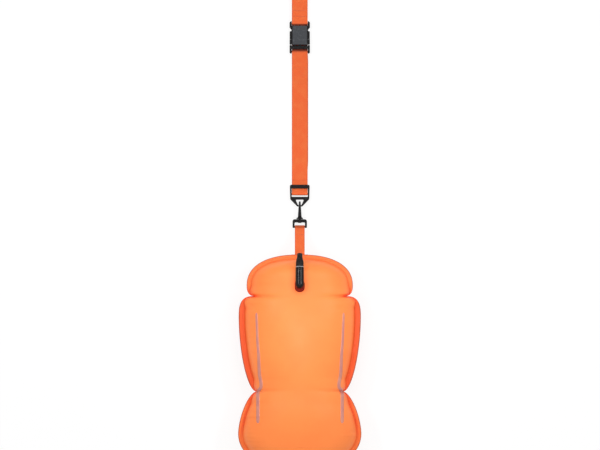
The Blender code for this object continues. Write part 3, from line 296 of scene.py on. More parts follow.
def spread(tree, value, low, high, to_low=0.0, to_high=1.0):
    """A value from low to high, eased and brought to another range."""
    return add_node(tree, "MapRange", {
        "Value": value, "From Min": low, "From Max": high, "To Min": to_low, "To Max": to_high,
    }, interpolation_type="SMOOTHSTEP").outputs["Result"]


def mix(tree, share, first, second):
    """Colour between two colours; the node's colour sockets are its inputs 6 and 7."""
    return add_node(tree, "Mix", {0: share, 6: first, 7: second}, data_type="RGBA").outputs[2]


def attribute(tree, name):
    return add_node(tree, "Attribute", attribute_name=name).outputs["Fac"]


def noise_texture(tree, vector, scale, detail=2.0, roughness=0.5):
    return add_node(tree, "TexNoise", {"Vector": vector, "Scale": scale, "Detail": detail,
                                       "Roughness": roughness}).outputs["Fac"]


def bands(tree, vector, direction, pitch):
    """Sine bands along one axis, from 0 to 1, one band per pitch."""
    return add_node(tree, "TexWave", {"Vector": vector, "Scale": math.tau / 20.0 / pitch},
                    wave_type="BANDS", bands_direction=direction).outputs["Fac"]


def bump(tree, height, distance, strength, **inputs):
    return add_node(tree, "Bump", {"Height": height, "Distance": distance, "Strength": strength,
                                   **inputs}).outputs["Normal"]


def object_coordinates(tree):
    return add_node(tree, "TexCoord").outputs["Object"]


def place_group(tree, build, vector, **values):
    """A shared node group in a material, made on its first use. Its inputs are Vector and the
    numbers given here, and build makes its outputs out of them."""
    name = build.__name__.replace("_", " ")
    numbers = {label.replace("_", " "): value for label, value in values.items()}
    group = bpy.data.node_groups.get(name)
    if group is None:
        group = bpy.data.node_groups.new(name, "ShaderNodeTree")
        sockets = group.interface
        sockets.new_socket(name="Vector", in_out="INPUT", socket_type="NodeSocketVector")
        for label in numbers:
            sockets.new_socket(name=label, in_out="INPUT", socket_type="NodeSocketFloat")
        made = build(group, group.nodes.new("NodeGroupInput").outputs)
        for label in made:
            sockets.new_socket(name=label, in_out="OUTPUT", socket_type="NodeSocketFloat")
        end = group.nodes.new("NodeGroupOutput")
        for label, value in made.items():
            group.links.new(value, end.inputs[label])
    return add_node(tree, "Group", {"Vector": vector, **numbers}, node_tree=group).outputs


def coated_cloth_weave(tree, given):
    """Fine plain weave of the coated cloth, with the faint unevenness of its coating."""
    threads = maths(tree, "MAXIMUM", *(bands(tree, given["Vector"], axis, CLOTH_THREAD_PITCH)
                                       for axis in "XY"))
    coating = noise_texture(tree, given["Vector"], 900.0, 3.0)
    mottle = noise_texture(tree, given["Vector"], given["Mottle Scale"], 4.0, 0.55)
    return {"Height": maths(tree, "ADD", threads, maths(tree, "MULTIPLY", coating, 0.8)),
            "Mottle": spread(tree, mottle, 0.35, 0.68)}


def webbing_weave(tree, given):
    """Ribbed narrow webbing: ribs across it, herringbone threads and two finer edge cords.
    Vector is the strap's own map, with X across and Y along it, both in metres."""
    own = add_node(tree, "SeparateXYZ", {0: given["Vector"]}).outputs
    across = maths(tree, "ABSOLUTE", own["X"])
    slanted = maths(tree, "ADD", own["Y"], maths(tree, "MULTIPLY", across, RIB_SLANT))
    turns = maths(tree, "DIVIDE", slanted, given["Rib Pitch"])
    wave = maths(tree, "SINE", maths(tree, "MULTIPLY", turns, math.tau))
    rib = maths(tree, "MULTIPLY_ADD", wave, 0.5, 0.5)
    thread_phase = maths(tree, "MULTIPLY", own["X"], math.tau / WEBBING_THREAD_PITCH)
    thread_wave = maths(tree, "MULTIPLY_ADD", maths(tree, "SINE", thread_phase), 0.22, 0.22)
    fuzz = noise_texture(tree, given["Vector"], 1400.0)
    body = maths(tree, "ADD", rib, thread_wave)
    share = maths(tree, "DIVIDE", across, given["Half Width"])
    return {"Height": maths(tree, "MULTIPLY_ADD", fuzz, 0.35, body),
            "Groove": spread(tree, rib, 0.45, 0.0), "Edge": spread(tree, share, 0.86, 0.99)}


def moulded_plastic_grain(tree, given):
    """Fine spark-eroded grain of moulded plastic, with dust and rubbed patches."""
    fineness = maths(tree, "DIVIDE", 1.0, given["Grain Size"])
    grain = add_node(tree, "TexVoronoi", {"Vector": given["Vector"], "Scale": fineness})
    rub = noise_texture(tree, given["Vector"], 160.0, 5.0)
    dust = noise_texture(tree, given["Vector"], 2600.0, 1.0)
    return {"Height": grain.outputs["Distance"], "Rub": spread(tree, rub, 0.5, 0.72),
            "Dust": spread(tree, dust, 0.62, 0.74)}


def edge_wear(tree, given):
    """Mask of a piece's outer edges, from how far a rounded normal leans from the true one."""
    rounded = add_node(tree, "Bevel", {"Radius": given["Radius"]}, samples=4).outputs[0]
    true = add_node(tree, "NewGeometry").outputs["Normal"]
    lean = add_node(tree, "VectorMath", {0: rounded, 1: true}, operation="DOT_PRODUCT")
    edge = spread(tree, lean.outputs["Value"], 0.985, 0.86)
    patchy = spread(tree, noise_texture(tree, given["Vector"], 700.0, 4.0), 0.38, 0.66)
    return {"Edge": maths(tree, "MULTIPLY", edge, patchy)}


# Finishes

def finish(name, build, *values):
    """A material is made once and shared by its pieces; build gives its shader's inputs."""
    material = bpy.data.materials.get(name)
    if material is None:
        material = bpy.data.materials.new(name)
        material.use_nodes = True
        tree = material.node_tree
        shader = tree.nodes["Principled BSDF"]
        for label, value in build(tree, *values).items():
            feed(tree, shader.inputs[label], value)
    return material


def colour_of(name):
    return tuple(getattr(bpy.context.scene.buoy_colours, name))


def tinted(colour, *shares):
    """A colour with each channel changed by its own share, and no brighter than white."""
    return tuple(min(1.0, channel * share) for channel, share in zip(colour, shares))


def float_cloth(tree):
    """Satin coated cloth, redder on the weld, with painted shade at the foot of its walls, in its
    creases, on its cut edge and round the valve, and a faint painted glow.
    """
    skin = colour_of("skin")
    weave = place_group(tree, coated_cloth_weave, object_coordinates(tree), Mottle_Scale=11.0)
    weld = attribute(tree, "weld")
    colour = mix(tree, weave["Mottle"], skin, tinted(skin, 0.99, 0.93, 0.92))
    # Painted shade: the first two masks darken the cloth round the valve's root and at the foot of
    # its walls and creases, and the last one its cut edge; the weld mask is the two layers' own
    # deeper colour.
    for mask, deeper in ((attribute(tree, "halo"), (0.95, 0.2, 0.045)),
                         (attribute(tree, "crease"), (0.93, 0.12, 0.03)),
                         (weld, colour_of("weld")), (attribute(tree, "rim"), (0.3, 0.07, 0.035))):
        colour = mix(tree, mask, colour, deeper)
    gloss = spread(tree, weave["Mottle"], 0.0, 1.0, 0.36, 0.46)
    return {"Base Color": colour, "Roughness": maths(tree, "MULTIPLY_ADD", weld, 0.06, gloss),
            # A faint red emission paints a glow that keeps the cloth red where it is shaded.
            "Specular IOR Level": 0.25, "Emission Color": (1.0, 0.1, 0.02),
            "Emission Strength": 0.12, "Normal": bump(tree, weave["Height"], 0.00008, 0.5)}


def reflective_strip(tree):
    """Purplish reflective tape with a fine grid of beads, darker along its edges."""
    weave = place_group(tree, coated_cloth_weave, object_coordinates(tree), Mottle_Scale=40.0)
    worn = mix(tree, weave["Mottle"], colour_of("strip"), (0.68, 0.27, 0.2))
    return {"Base Color": mix(tree, attribute(tree, "strip_edge"), worn, (0.74, 0.27, 0.14)),
            "Metallic": 0.15, "Roughness": spread(tree, weave["Mottle"], 0.0, 1.0, 0.3, 0.45),
            "Normal": bump(tree, weave["Height"], 0.00006, 0.4)}


def strap_webbing(tree, width, edge_darkening):
    """Woven webbing with ribs and cord edges, darker along its edges, with painted shade in its
    grooves and where it passes round bars.
    """
    own_map = add_node(tree, "UVMap", uv_map="strap").outputs["UV"]
    pitch = bpy.context.scene.buoy_straps.rib_pitch
    weave = place_group(tree, webbing_weave, own_map, Rib_Pitch=pitch, Half_Width=width / 2.0)
    stain = noise_texture(tree, own_map, 45.0, 5.0)
    base = colour_of("webbing")
    cloth = mix(tree, spread(tree, stain, 0.4, 0.7), base, tinted(base, 1.0, 1.22, 1.3))
    # Painted shade in the grooves between the ribs.
    groove_shaded = mix(tree, maths(tree, "MULTIPLY", weave["Groove"], 0.55), cloth,
                  tinted(base, 0.8, 0.55, 0.5))
    # Darker along the edges, as much as the last argument asks.
    edged = mix(tree, maths(tree, "MULTIPLY", weave["Edge"], edge_darkening), groove_shaded, (0.42, 0.09, 0.035))
    # Painted shade where the webbing passes round a bar, made uneven by the stain.
    uneven_bar_shade = maths(tree, "MULTIPLY", attribute(tree, "soil"),
                   spread(tree, stain, 0.2, 0.55, 0.7, 1.0))
    return {"Base Color": mix(tree, uneven_bar_shade, edged, (0.12, 0.012, 0.006)),
            "Roughness": spread(tree, weave["Groove"], 0.0, 1.0, 0.66, 0.85),
            "Sheen Weight": 0.12, "Sheen Roughness": 0.4, "Sheen Tint": (1.0, 0.6, 0.4),
            "Specular IOR Level": 0.3, "Normal": bump(tree, weave["Height"], 0.00025, 0.75)}


def moulded_plastic(tree, colour, roughness, grain_size, grain_depth, wear_colour, edge_radius):
    """Moulded plastic with a grain, rubbed patches, dust in its grain and paler worn edges."""
    place = object_coordinates(tree)
    grain = place_group(tree, moulded_plastic_grain, place, Grain_Size=grain_size)
    wear = place_group(tree, edge_wear, place, Radius=edge_radius)
    body = mix(tree, grain["Rub"], colour, tuple(channel * 1.45 + 0.004 for channel in colour))
    dusty = mix(tree, maths(tree, "MULTIPLY", grain["Dust"], 0.25), body, (0.3, 0.28, 0.26))
    rounded = add_node(tree, "Bevel", {"Radius": edge_radius}, samples=4).outputs["Normal"]
    return {"Base Color": mix(tree, wear["Edge"], dusty, wear_colour),
            "Roughness": spread(tree, grain["Rub"], 0.0, 1.0, roughness - 0.06, roughness + 0.1),
            "Specular IOR Level": 0.07,
            "Normal": bump(tree, grain["Height"], grain_depth, 0.5, Normal=rounded)}


def gloss_rubber(tree):
    """Glossy vinyl of the valve tube, with faint flow lines and fingerprints."""
    smear = noise_texture(tree, object_coordinates(tree), 180.0, 4.0)
    return {"Base Color": mix(tree, spread(tree, smear, 0.4, 0.7), colour_of("tube"),
                              (0.006, 0.005, 0.007)),
            "Roughness": spread(tree, smear, 0.35, 0.75, 0.05, 0.11), "Specular IOR Level": 0.17,
            "Normal": bump(tree, smear, 0.00003, 0.08)}


def soft_valve_base(tree):
    """Vinyl round the valve's root, painted deep red for the shade it lies in."""
    weave = place_group(tree, coated_cloth_weave, object_coordinates(tree), Mottle_Scale=120.0)
    return {"Base Color": mix(tree, weave["Mottle"], (0.17, 0.006, 0.003), (0.28, 0.015, 0.006)),
            "Roughness": spread(tree, weave["Mottle"], 0.0, 1.0, 0.4, 0.55),
            "Specular IOR Level": 0.1, "Normal": bump(tree, weave["Height"], 0.00006, 0.4)}


def spring_steel(tree):
    """Drawn steel wire."""
    drawn = noise_texture(tree, object_coordinates(tree), 900.0)
    return {"Base Color": mix(tree, drawn, (0.5, 0.5, 0.52), (0.68, 0.68, 0.7)),
            "Roughness": spread(tree, drawn, 0.3, 0.7, 0.22, 0.4), "Metallic": 1.0}


def stitch_thread(tree, colour):
    """Bonded polyester thread, twisted."""
    strand = noise_texture(tree, object_coordinates(tree), 2200.0)
    return {"Base Color": mix(tree, strand, tuple(channel * 0.6 for channel in colour), colour),
            "Roughness": 0.5, "Normal": bump(tree, strand, 0.0001, 0.6)}


def plastic(name):
    """A moulded plastic: its colour, roughness, grain size and depth, worn colour, edge radius."""
    looks = {
        "black plastic": (colour_of("black_plastic"), 0.5, 0.0007, 0.00008, (0.022, 0.022, 0.023),
                          0.0004),
        # The buckle face's grey is a painted reflection on black plastic.
        "grey plastic": (colour_of("grey_plastic"), 0.5, 0.0008, 0.00012, (0.15, 0.155, 0.165),
                         0.0006),
        "satin cap": ((0.013, 0.011, 0.011), 0.32, 0.0005, 0.00004, (0.05, 0.046, 0.046), 0.0004),
        # The washer's pale colour is a painted highlight for the light caught at the tube's lip.
        "pale plastic": ((0.42, 0.42, 0.44), 0.38, 0.0006, 0.00005, (0.62, 0.62, 0.63), 0.0003)}
    return finish(name, moulded_plastic, *looks[name])


# Making meshes

def mesh_object(name, shape, material, smooth=True):
    """Object at the origin from a finished bmesh, which is freed."""
    mesh = bpy.data.meshes.new(name)
    shape.to_mesh(mesh)
    shape.free()
    if smooth:
        mesh.shade_smooth()
    mesh.materials.append(material)
    piece = bpy.data.objects.new(name, mesh)
    bpy.context.scene.collection.objects.link(piece)
    return piece


def dress(piece, body, slot, *nodes):
    """What a piece rides on and the CAD nodes that it stands for, which are hidden; slot is not
    used.
    """
    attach(piece, body)
    if nodes:
        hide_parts(*nodes)
    return piece


def thicken(piece, label, thickness, offset=0.0):
    """Give a sheet its wall: evenly to both sides, or all outwards with an offset of 1."""
    wall = piece.modifiers.new(label, "SOLIDIFY")
    wall.thickness = thickness
    wall.offset = offset
    return wall


def smooth_step(share):
    share = min(1.0, max(0.0, share))
    return share * share * (3.0 - 2.0 * share)


def distances(points):
    """How far along a line each of its points is."""
    along = [0.0]
    for before, after in zip(points, points[1:]):
        along.append(along[-1] + math.dist(before, after))
    return along


def arc_points(centre, radius, start, end, steps):
    """Points on a circle in the drawing plane, from one angle to another, both in degrees."""
    angles = [math.radians(start + (end - start) * step / steps) for step in range(steps + 1)]
    return [(centre[0] + radius * math.cos(angle), centre[1] + radius * math.sin(angle))
            for angle in angles]


# The blown-up float

STRETCH_STEPS = 160
END_FALL = 0.02
END_FALL_REACH = 0.17
NOTCH_FALL = 0.006
NOTCH_FALL_REACH = 0.045
RIDGE_END_SHARE = 0.62
NOTCH_PULL_ACROSS = 0.024
NOTCH_PULL_ALONG = 0.018
EVENED_REACH = 0.06
PUCKER_START = 0.003
CREASE_SHADE_REACH = 0.006
WALL_ROW_EASING = 1.7
VALVE_SHADE_INSIDE = 0.012
VALVE_SHADE_REACH = 0.014
RING_COUNT = 60
COLUMNS_EVENED = 12
WELD_SHARES = (0.0, 0.13, 0.2, 0.45, 0.7)
SMOOTHED_ABOVE = 0.18
SMOOTHING_ROUNDS = 90
CLOTH_OFF_WELD = GAP / 2.0 + CLOTH / 2.0
HELD_RISE = 0.0012
HELD_BY_VALVE = 0.026
SLACK_REACH = 0.022
SIMULATED_FRAMES = 16
FARTHEST_MOVE = 0.006


def rounded_stretch(pole, widest, roundness, steps):
    """Quarter of a superellipse from its pole to its widest point, as (half width, depth)."""
    points = []
    for step in range(steps + 1):
        angle = math.radians(90.0) * step / steps
        out = math.sin(angle) ** (2.0 / roundness)
        back = math.cos(angle) ** (2.0 / roundness)
        points.append((pole[0] + (widest[0] - pole[0]) * out,
                       widest[1] + (pole[1] - widest[1]) * back))
    return points


def evenly(points, spacing):
    """The same line with its points a like distance apart; its ends stay."""
    lengths = distances(points)
    count = max(2, round(lengths[-1] / spacing))
    even = []
    index = 0
    for step in range(count + 1):
        along = lengths[-1] * step / count
        while index < len(points) - 2 and lengths[index + 1] < along:
            index += 1
        share = (along - lengths[index]) / max(1e-9, lengths[index + 1] - lengths[index])
        even.append(tuple(a + (b - a) * share for a, b in zip(points[index], points[index + 1])))
    return even


def half_outline(spacing):
    """The float's right-hand edge from its top end to its bottom end, as (half width, depth)."""
    stretches = (
        ((0.0, 0.0), TOP_LOBE, 2.35, False), (UPPER_NOTCH, TOP_LOBE, 2.3, True),
        (UPPER_NOTCH, MIDDLE_LOBE, 2.9, False), (LOWER_NOTCH, MIDDLE_LOBE, 1.8, True),
        (LOWER_NOTCH, BOTTOM_LOBE, 1.6, False), ((0.0, FLOAT_LENGTH), BOTTOM_LOBE, 2.15, True))
    outline = [(0.0, 0.0)]
    for pole, widest, roundness, downwards in stretches:
        points = rounded_stretch(pole, widest, roundness, STRETCH_STEPS)
        if downwards:
            points.reverse()
        outline += evenly(points, spacing)[1:]
    return outline


def weld_width(depth):
    """The weld narrows towards the two notches."""
    nearest = min(abs(depth - UPPER_NOTCH[1]), abs(depth - LOWER_NOTCH[1]))
    sizes = bpy.context.scene.buoy_float
    beside_middle = UPPER_NOTCH[1] < depth < LOWER_NOTCH[1]
    full = sizes.middle_weld_width if beside_middle else sizes.weld_width
    return FLANGE_AT_NOTCH + (full - FLANGE_AT_NOTCH) * smooth_step(nearest / NOTCH_REACH)


def inner_edge(outline):
    """The outline moved in by the weld's width, square to the edge."""
    inner = []
    last = len(outline) - 1
    for index, (width, depth) in enumerate(outline):
        before = Vector(outline[max(index - 1, 0)])
        after = Vector(outline[min(index + 1, last)])
        if index == 0:
            before = Vector((-after.x, after.y))
        if index == last:
            after = Vector((-before.x, before.y))
        along = (after - before).normalized()
        inner.append((max(0.0, width - along.y * weld_width(depth)),
                      depth + along.x * weld_width(depth)))
    return inner


def crown_height(depth, crown):
    """How far the ridge stands above the weld at a depth below the top edge."""
    top_share = max(0.0, 1.0 - depth / END_FALL_REACH)
    bottom_share = max(0.0, 1.0 - (FLOAT_LENGTH - depth) / END_FALL_REACH)
    notches = sum(math.exp(-((depth - notch[1]) / NOTCH_FALL_REACH) ** 2)
                  for notch in (UPPER_NOTCH, LOWER_NOTCH))
    return crown - END_FALL * (top_share ** 2 + bottom_share ** 2) - NOTCH_FALL * notches


def ridge_depth(depth):
    """The point of the ridge that an outline point at the float's ends is joined to."""
    first = TOP_LOBE[1] * RIDGE_END_SHARE
    last = FLOAT_LENGTH - (FLOAT_LENGTH - BOTTOM_LOBE[1]) * RIDGE_END_SHARE
    return min(last, max(first, depth))


def ridge_points(outline):
    """The point of the ridge that each outline point is joined to, a like distance apart between
    the lobes' widest places, so that the lines run in evenly past the notches."""
    ridges = [ridge_depth(depth) for _, depth in outline]
    depths = [depth for _, depth in outline]
    widest = [min(range(len(depths)), key=lambda index: abs(depths[index] - lobe[1]))
              for lobe in (TOP_LOBE, MIDDLE_LOBE, BOTTOM_LOBE)]
    for start, end in zip(widest, widest[1:]):
        for index in range(start, end + 1):
            share = (index - start) / (end - start)
            ridges[index] = depths[start] + (depths[end] - depths[start]) * share
    return evened_out(ridges, COLUMNS_EVENED // 3)


def wall_share(share):
    """Height of the cloth between the weld, at 0, and the ridge, at 1."""
    return (1.0 - (1.0 - share) ** 2.1) ** (1.0 / 1.75)


def float_y(depth):
    return FLOAT_TOP_Y - depth


def front_height(depth):
    """Middle of the front cloth over the centre line."""
    return FLANGE_HEIGHT + GAP / 2.0 + CLOTH / 2.0 + crown_height(depth, FRONT_CROWN)


def valve_root():
    return Vector((0.0, float_y(VALVE_FROM_TOP), front_height(VALVE_FROM_TOP) + VALVE_LIFT))


def pinch(along, side):
    """Uneven train of puckers along the weld, from -1 to 1; along is in metres."""
    slow = noise.noise(Vector((along * 18.0, side * 7.3, 1.7)))
    wandering = along + 0.004 * noise.noise(Vector((along * 45.0, side * 3.1, 9.4)))
    fine = noise.noise(Vector((wandering * 95.0, side * 5.9, 4.2)))
    broad = noise.noise(Vector((wandering * 42.0, side * 2.7, 6.6)))
    return (0.75 * fine + 0.85 * broad) * (0.75 + 0.9 * slow)


def notch_pull(depth, half_width):
    """How strongly the cloth is drawn in beside a notch, from 0 to 1."""
    pull = 0.0
    for notch in (UPPER_NOTCH, LOWER_NOTCH):
        away = math.hypot((abs(half_width) - notch[0]) / NOTCH_PULL_ACROSS,
                          (depth - notch[1]) / NOTCH_PULL_ALONG)
        pull = max(pull, math.exp(-away * away))
    return pull


def valve_halo(width, depth):
    """Painted shade in the cloth round the valve's root, from 0 to 1."""
    below = depth - VALVE_FROM_TOP - BOSS_OFFSET / 2.0
    away = math.hypot(width, max(0.0, abs(below) - BOSS_OFFSET / 2.0))
    return 0.8 * (1.0 - smooth_step((away - VALVE_SHADE_INSIDE) / VALVE_SHADE_REACH))


def evened_out(values, reach):
    """A row of numbers, each averaged with its neighbours within reach, twice."""
    for _ in range(2):
        parts = [values[max(0, index - reach):index + reach + 1] for index in range(len(values))]
        values = [sum(part) / len(part) for part in parts]
    return values


def evened_share(share, half_width, evened_width, depth):
    """A wall point's share of the way to the ridge, past the notches' own short reach."""
    near = max(math.exp(-((depth - notch[1]) / EVENED_REACH) ** 2)
               for notch in (UPPER_NOTCH, LOWER_NOTCH))
    evened = min(1.0, max(0.0, 1.0 - half_width / evened_width))
    return share + (evened - share) * near * smooth_step(share / 0.1)


def weld_depth_of_colour(kind, share, depth):
    """The weld is paler along the top lobe, and outside its fold along the bottom lobe."""
    top = 0.62 * smooth_step((0.1 - depth) / 0.03)
    bottom = smooth_step((depth - 0.355) / 0.03)
    outside = 1.0 - smooth_step((share - 0.35) / 0.3) if kind == "weld" else 0.0
    fading = 0.5 * smooth_step((depth - 0.41) / 0.06)
    return 1.0 - max(top, bottom * max(0.6 * outside, fading))


def panel_shape(crown, upwards):
    """One panel rolled up from a grid: its columns run in from the edge, across the flat weld and
    up to the ridge, and its sides and the ridge are merged. The cloth's masks go in with it."""
    sizes = bpy.context.scene.buoy_float
    right_outer = half_outline(sizes.point_spacing)
    right_inner = inner_edge(right_outer)
    widths = evened_out([width for width, _ in right_inner], COLUMNS_EVENED)
    right = list(zip(right_outer, right_inner, widths, ridge_points(right_outer)))
    edge = [(1.0, *column) for column in right] + [(-1.0, *column) for column in right[-2::-1]]
    along = distances(right_outer)
    along += along[-2::-1]
    levels = [("weld", share) for share in WELD_SHARES]
    levels += [("wall", (step / RING_COUNT) ** WALL_ROW_EASING)
               for step in range(RING_COUNT + 1)]
    columns = len(edge) - 1
    rows = len(levels) - 1

    shape = bmesh.new()
    masks = ("weld", "crease", "pull", "rim", "halo")
    weld_mask, painted_crease_shade_mask, pull, painted_edge_shade_mask, painted_valve_shade_mask = (
        shape.verts.layers.float.new(name) for name in masks)
    bmesh.ops.create_grid(shape, x_segments=columns, y_segments=rows, size=1.0)
    for vert in shape.verts:
        column = round((vert.co.x + 1.0) / 2.0 * columns)
        kind, share = levels[round((vert.co.y + 1.0) / 2.0 * rows)]
        side, outer, inner, evened_width, ridge = edge[column]
        run = along[column]
        if kind == "weld":
            width, depth = (a + (b - a) * share for a, b in zip(outer, inner))
            rise, away = 0.0, 0.0
        else:
            width = inner[0] * (1.0 - share)
            depth = inner[1] + (ridge - inner[1]) * share
            climb = evened_share(share, width, evened_width, outer[1])
            rise = crown_height(ridge, crown) * wall_share(climb)
            away = share * math.dist(inner, (0.0, ridge))
        vert.co = (side * width, float_y(depth), rise)
        train = pinch(run, side + (0.0 if upwards else 4.0))
        begun = 1.0 - math.exp(-away / PUCKER_START)
        vert[pull] = begun * math.exp(-(away / sizes.pucker_reach) ** 1.3) * train
        strength = weld_depth_of_colour(kind, share, outer[1])
        vert[weld_mask] = (1.0 - smooth_step((away - 0.0005) / 0.0015)) * strength
        # Painted shade along the outermost strip of the weld, for its cut edge.
        vert[painted_edge_shade_mask] = 0.8 if kind == "weld" and share < 0.15 else 0.0
        # Painted shade round the valve's root.
        vert[painted_valve_shade_mask] = valve_halo(side * width, depth) if upwards else 0.0
        # Painted shade at the foot of the wall, deeper in the pucker valleys and beside the
        # notches.
        foot = math.exp(-(away / CREASE_SHADE_REACH) ** 2) if kind == "wall" else 0.0
        near = notch_pull(depth, width)
        plain = 0.3 * strength + 0.5 * strength * max(0.0, -train)
        vert[painted_crease_shade_mask] = min(1.0, foot * (plain + 0.8 * near))
    bmesh.ops.remove_doubles(shape, verts=shape.verts, dist=GAP / 3.0)
    blow_up(shape, crown, upwards, pull)
    bmesh.ops.recalc_face_normals(shape, faces=shape.faces)
    top = max(shape.faces, key=lambda face: abs(face.calc_center_median().z - FLANGE_HEIGHT))
    if (top.normal.z > 0.0) != upwards:
        bmesh.ops.reverse_faces(shape, faces=shape.faces)
    return shape


def blow_up(shape, crown, upwards, pull):
    """Even the cloth out over the lobes, draw it in beside the notches, pucker it along the weld,
    and stand it off the weld's level, flat where it lies on the floor."""
    sizes = bpy.context.scene.buoy_float
    raised = [vert for vert in shape.verts if vert.co.z > SMOOTHED_ABOVE * crown]
    for _ in range(SMOOTHING_ROUNDS):
        bmesh.ops.smooth_vert(shape, verts=raised, factor=0.5, use_axis_x=False,
                              use_axis_y=False, use_axis_z=True)
    for vert in shape.verts:
        depth = FLOAT_TOP_Y - vert.co.y
        rise = vert.co.z
        fold = notch_pull(depth, vert.co.x)
        rise -= sizes.notch_draw * fold * smooth_step(rise / 0.02)
        rise = max(0.0, rise + sizes.pucker_depth * vert[pull])
        if upwards:
            vert.co.z = FLANGE_HEIGHT + CLOTH_OFF_WELD + rise
        else:
            vert.co.z = max(CLOTH / 2.0, FLANGE_HEIGHT - CLOTH_OFF_WELD - rise)


def add_float_panel(name, node, crown, upwards):
    """A panel's cloth, with its thickness and its masks, blown up by a short cloth simulation."""
    shape = panel_shape(crown, upwards)
    if upwards:
        open_valve_hole(shape)
    panel = mesh_object(name, shape, finish("float cloth", float_cloth))
    blow_up_by_simulation(panel, upwards)
    thicken(panel, "cloth thickness", CLOTH)
    dress(panel, "float", "float_skin", node)


CLOTH_SETTINGS = {
    "quality": 5, "mass": 0.15, "tension_stiffness": 25.0, "compression_stiffness": 25.0,
    "shear_stiffness": 8.0, "bending_stiffness": 0.05, "air_damping": 4.0,
    "vertex_group_mass": "held", "vertex_group_shrink": "slack", "shrink_min": 0.0,
    "use_pressure": True, "uniform_pressure_force": 4.0}


def blow_up_by_simulation(panel, upwards):
    """Press the cloth out against its weld, with slack along the weld so that it puckers there.
    Points on the weld, round the valve and on the floor are held, and no point moves far."""
    mesh = panel.data
    start = [vert.co.copy() for vert in mesh.vertices]
    weld = mesh.attributes["weld"].data
    root = valve_root()
    held = panel.vertex_groups.new(name="held")
    slack = panel.vertex_groups.new(name="slack")
    level = FLANGE_HEIGHT + (1.0 if upwards else -1.0) * CLOTH_OFF_WELD
    for vert in mesh.vertices:
        rise = abs(vert.co.z - level)
        from_valve = math.hypot(vert.co.x, vert.co.y - root.y + BOSS_OFFSET / 2.0)
        by_valve = upwards and from_valve < HELD_BY_VALVE
        on_floor = not upwards and vert.co.z < CLOTH
        if rise < HELD_RISE or weld[vert.index].value > 0.02 or by_valve or on_floor:
            held.add([vert.index], 1.0, "REPLACE")
        slack.add([vert.index], math.exp(-(rise / SLACK_REACH) ** 2), "REPLACE")
    modifier = panel.modifiers.new("blown up", "CLOTH")
    cloth = modifier.settings
    for name, value in CLOTH_SETTINGS.items():
        setattr(cloth, name, value)
    cloth.shrink_max = -bpy.context.scene.buoy_float.seam_slack
    cloth.effector_weights.gravity = 0.0
    modifier.collision_settings.use_collision = False
    modifier.point_cache.frame_start = 1
    modifier.point_cache.frame_end = SIMULATED_FRAMES
    for moment in range(1, SIMULATED_FRAMES + 1):
        bpy.context.scene.frame_set(moment)
    blown = panel.evaluated_get(bpy.context.evaluated_depsgraph_get()).data
    for vert, before, after in zip(mesh.vertices, start, blown.vertices):
        move = after.co - before
        if move.length > FARTHEST_MOVE:
            move *= FARTHEST_MOVE / move.length
        vert.co = before + move
        vert.co.z = max(vert.co.z, level) if upwards else max(CLOTH / 2.0, min(vert.co.z, level))
    panel.modifiers.remove(modifier)
    panel.vertex_groups.clear()
    bpy.context.scene.frame_set(1)


def open_valve_hole(shape):
    """Cut the cloth away where the valve's base comes up."""
    root = valve_root()
    middle = Vector((0.0, root.y - BOSS_OFFSET / 2.0))
    inside = []
    for vert in shape.verts:
        away = Vector((vert.co.x, vert.co.y)) - middle
        away.y = max(0.0, abs(away.y) - BOSS_OFFSET / 2.0)
        if vert.co.z > FLANGE_HEIGHT and away.length < BOSS_RADIUS + GAP:
            inside.append(vert)
    bmesh.ops.delete(shape, geom=inside, context="VERTS")


class BuoyPanels(bpy.types.Operator):
    """Make the float's two blown-up cloth panels"""
    bl_idname = "buoy.panels"
    bl_label = "Float Panels"

    def execute(self, context):
        add_float_panel("front_cloth", "front_panel", FRONT_CROWN, True)
        add_float_panel("back_cloth", "back_panel", BACK_CROWN, False)
        return {"FINISHED"}


def settle(points, rounds):
    """Soften a line's corners and leave its ends where they are."""
    for _ in range(rounds):
        points = [points[0]] + [tuple((a + 2.0 * b + c) / 4.0 for a, b, c in zip(p, q, r))
                                for p, q, r in zip(points, points[1:], points[2:])] + [points[-1]]
    return points


class BuoyStrips(bpy.types.Operator):
    """Make the two reflective strips that are welded on the front cloth"""
    bl_idname = "buoy.strips"
    bl_label = "Reflective Strips"

    def execute(self, context):
        width = context.scene.buoy_float.strip_width
        material = finish("reflective strip", reflective_strip)
        surface = BVHTree.FromObject(bpy.data.objects["front_cloth"],
                                     context.evaluated_depsgraph_get())
        for name, side in (("left", -1.0), ("right", 1.0)):
            shape = strip_shape(surface, side, width)
            strip = mesh_object("reflective_strip_" + name, shape, material)
            thicken(strip, "tape thickness", STRIP_THICKNESS, 1.0)
            dress(strip, "float", "float_skin")
        return {"FINISHED"}


STRIP_THICKNESS = 0.00035
STRIP_ACROSS = 6
STRIP_LIFT = 0.0004
STRIP_EDGE_SUNK = 0.0002
STRIP_SPACING = 0.002
RIGHT_STRIP_OUT = 0.0015


def strip_line(side):
    """Middle line of a strip, as (half width, depth): two straight runs and the kink where the
    cloth pulls the strip inwards beside the lower notch. The right one lies further out."""
    line = [(0.1079, 0.1448), (0.1054, 0.2133), (0.1026, 0.2463), (0.1014, 0.2755),
            (0.1002, 0.3003), (0.0959, 0.321), (0.0962, 0.331), (0.1026, 0.3388),
            (0.1044, 0.346), (0.1041, 0.3833), (0.1041, 0.4205)]
    return [(width + (RIGHT_STRIP_OUT if side > 0.0 else 0.0), depth) for width, depth in line]


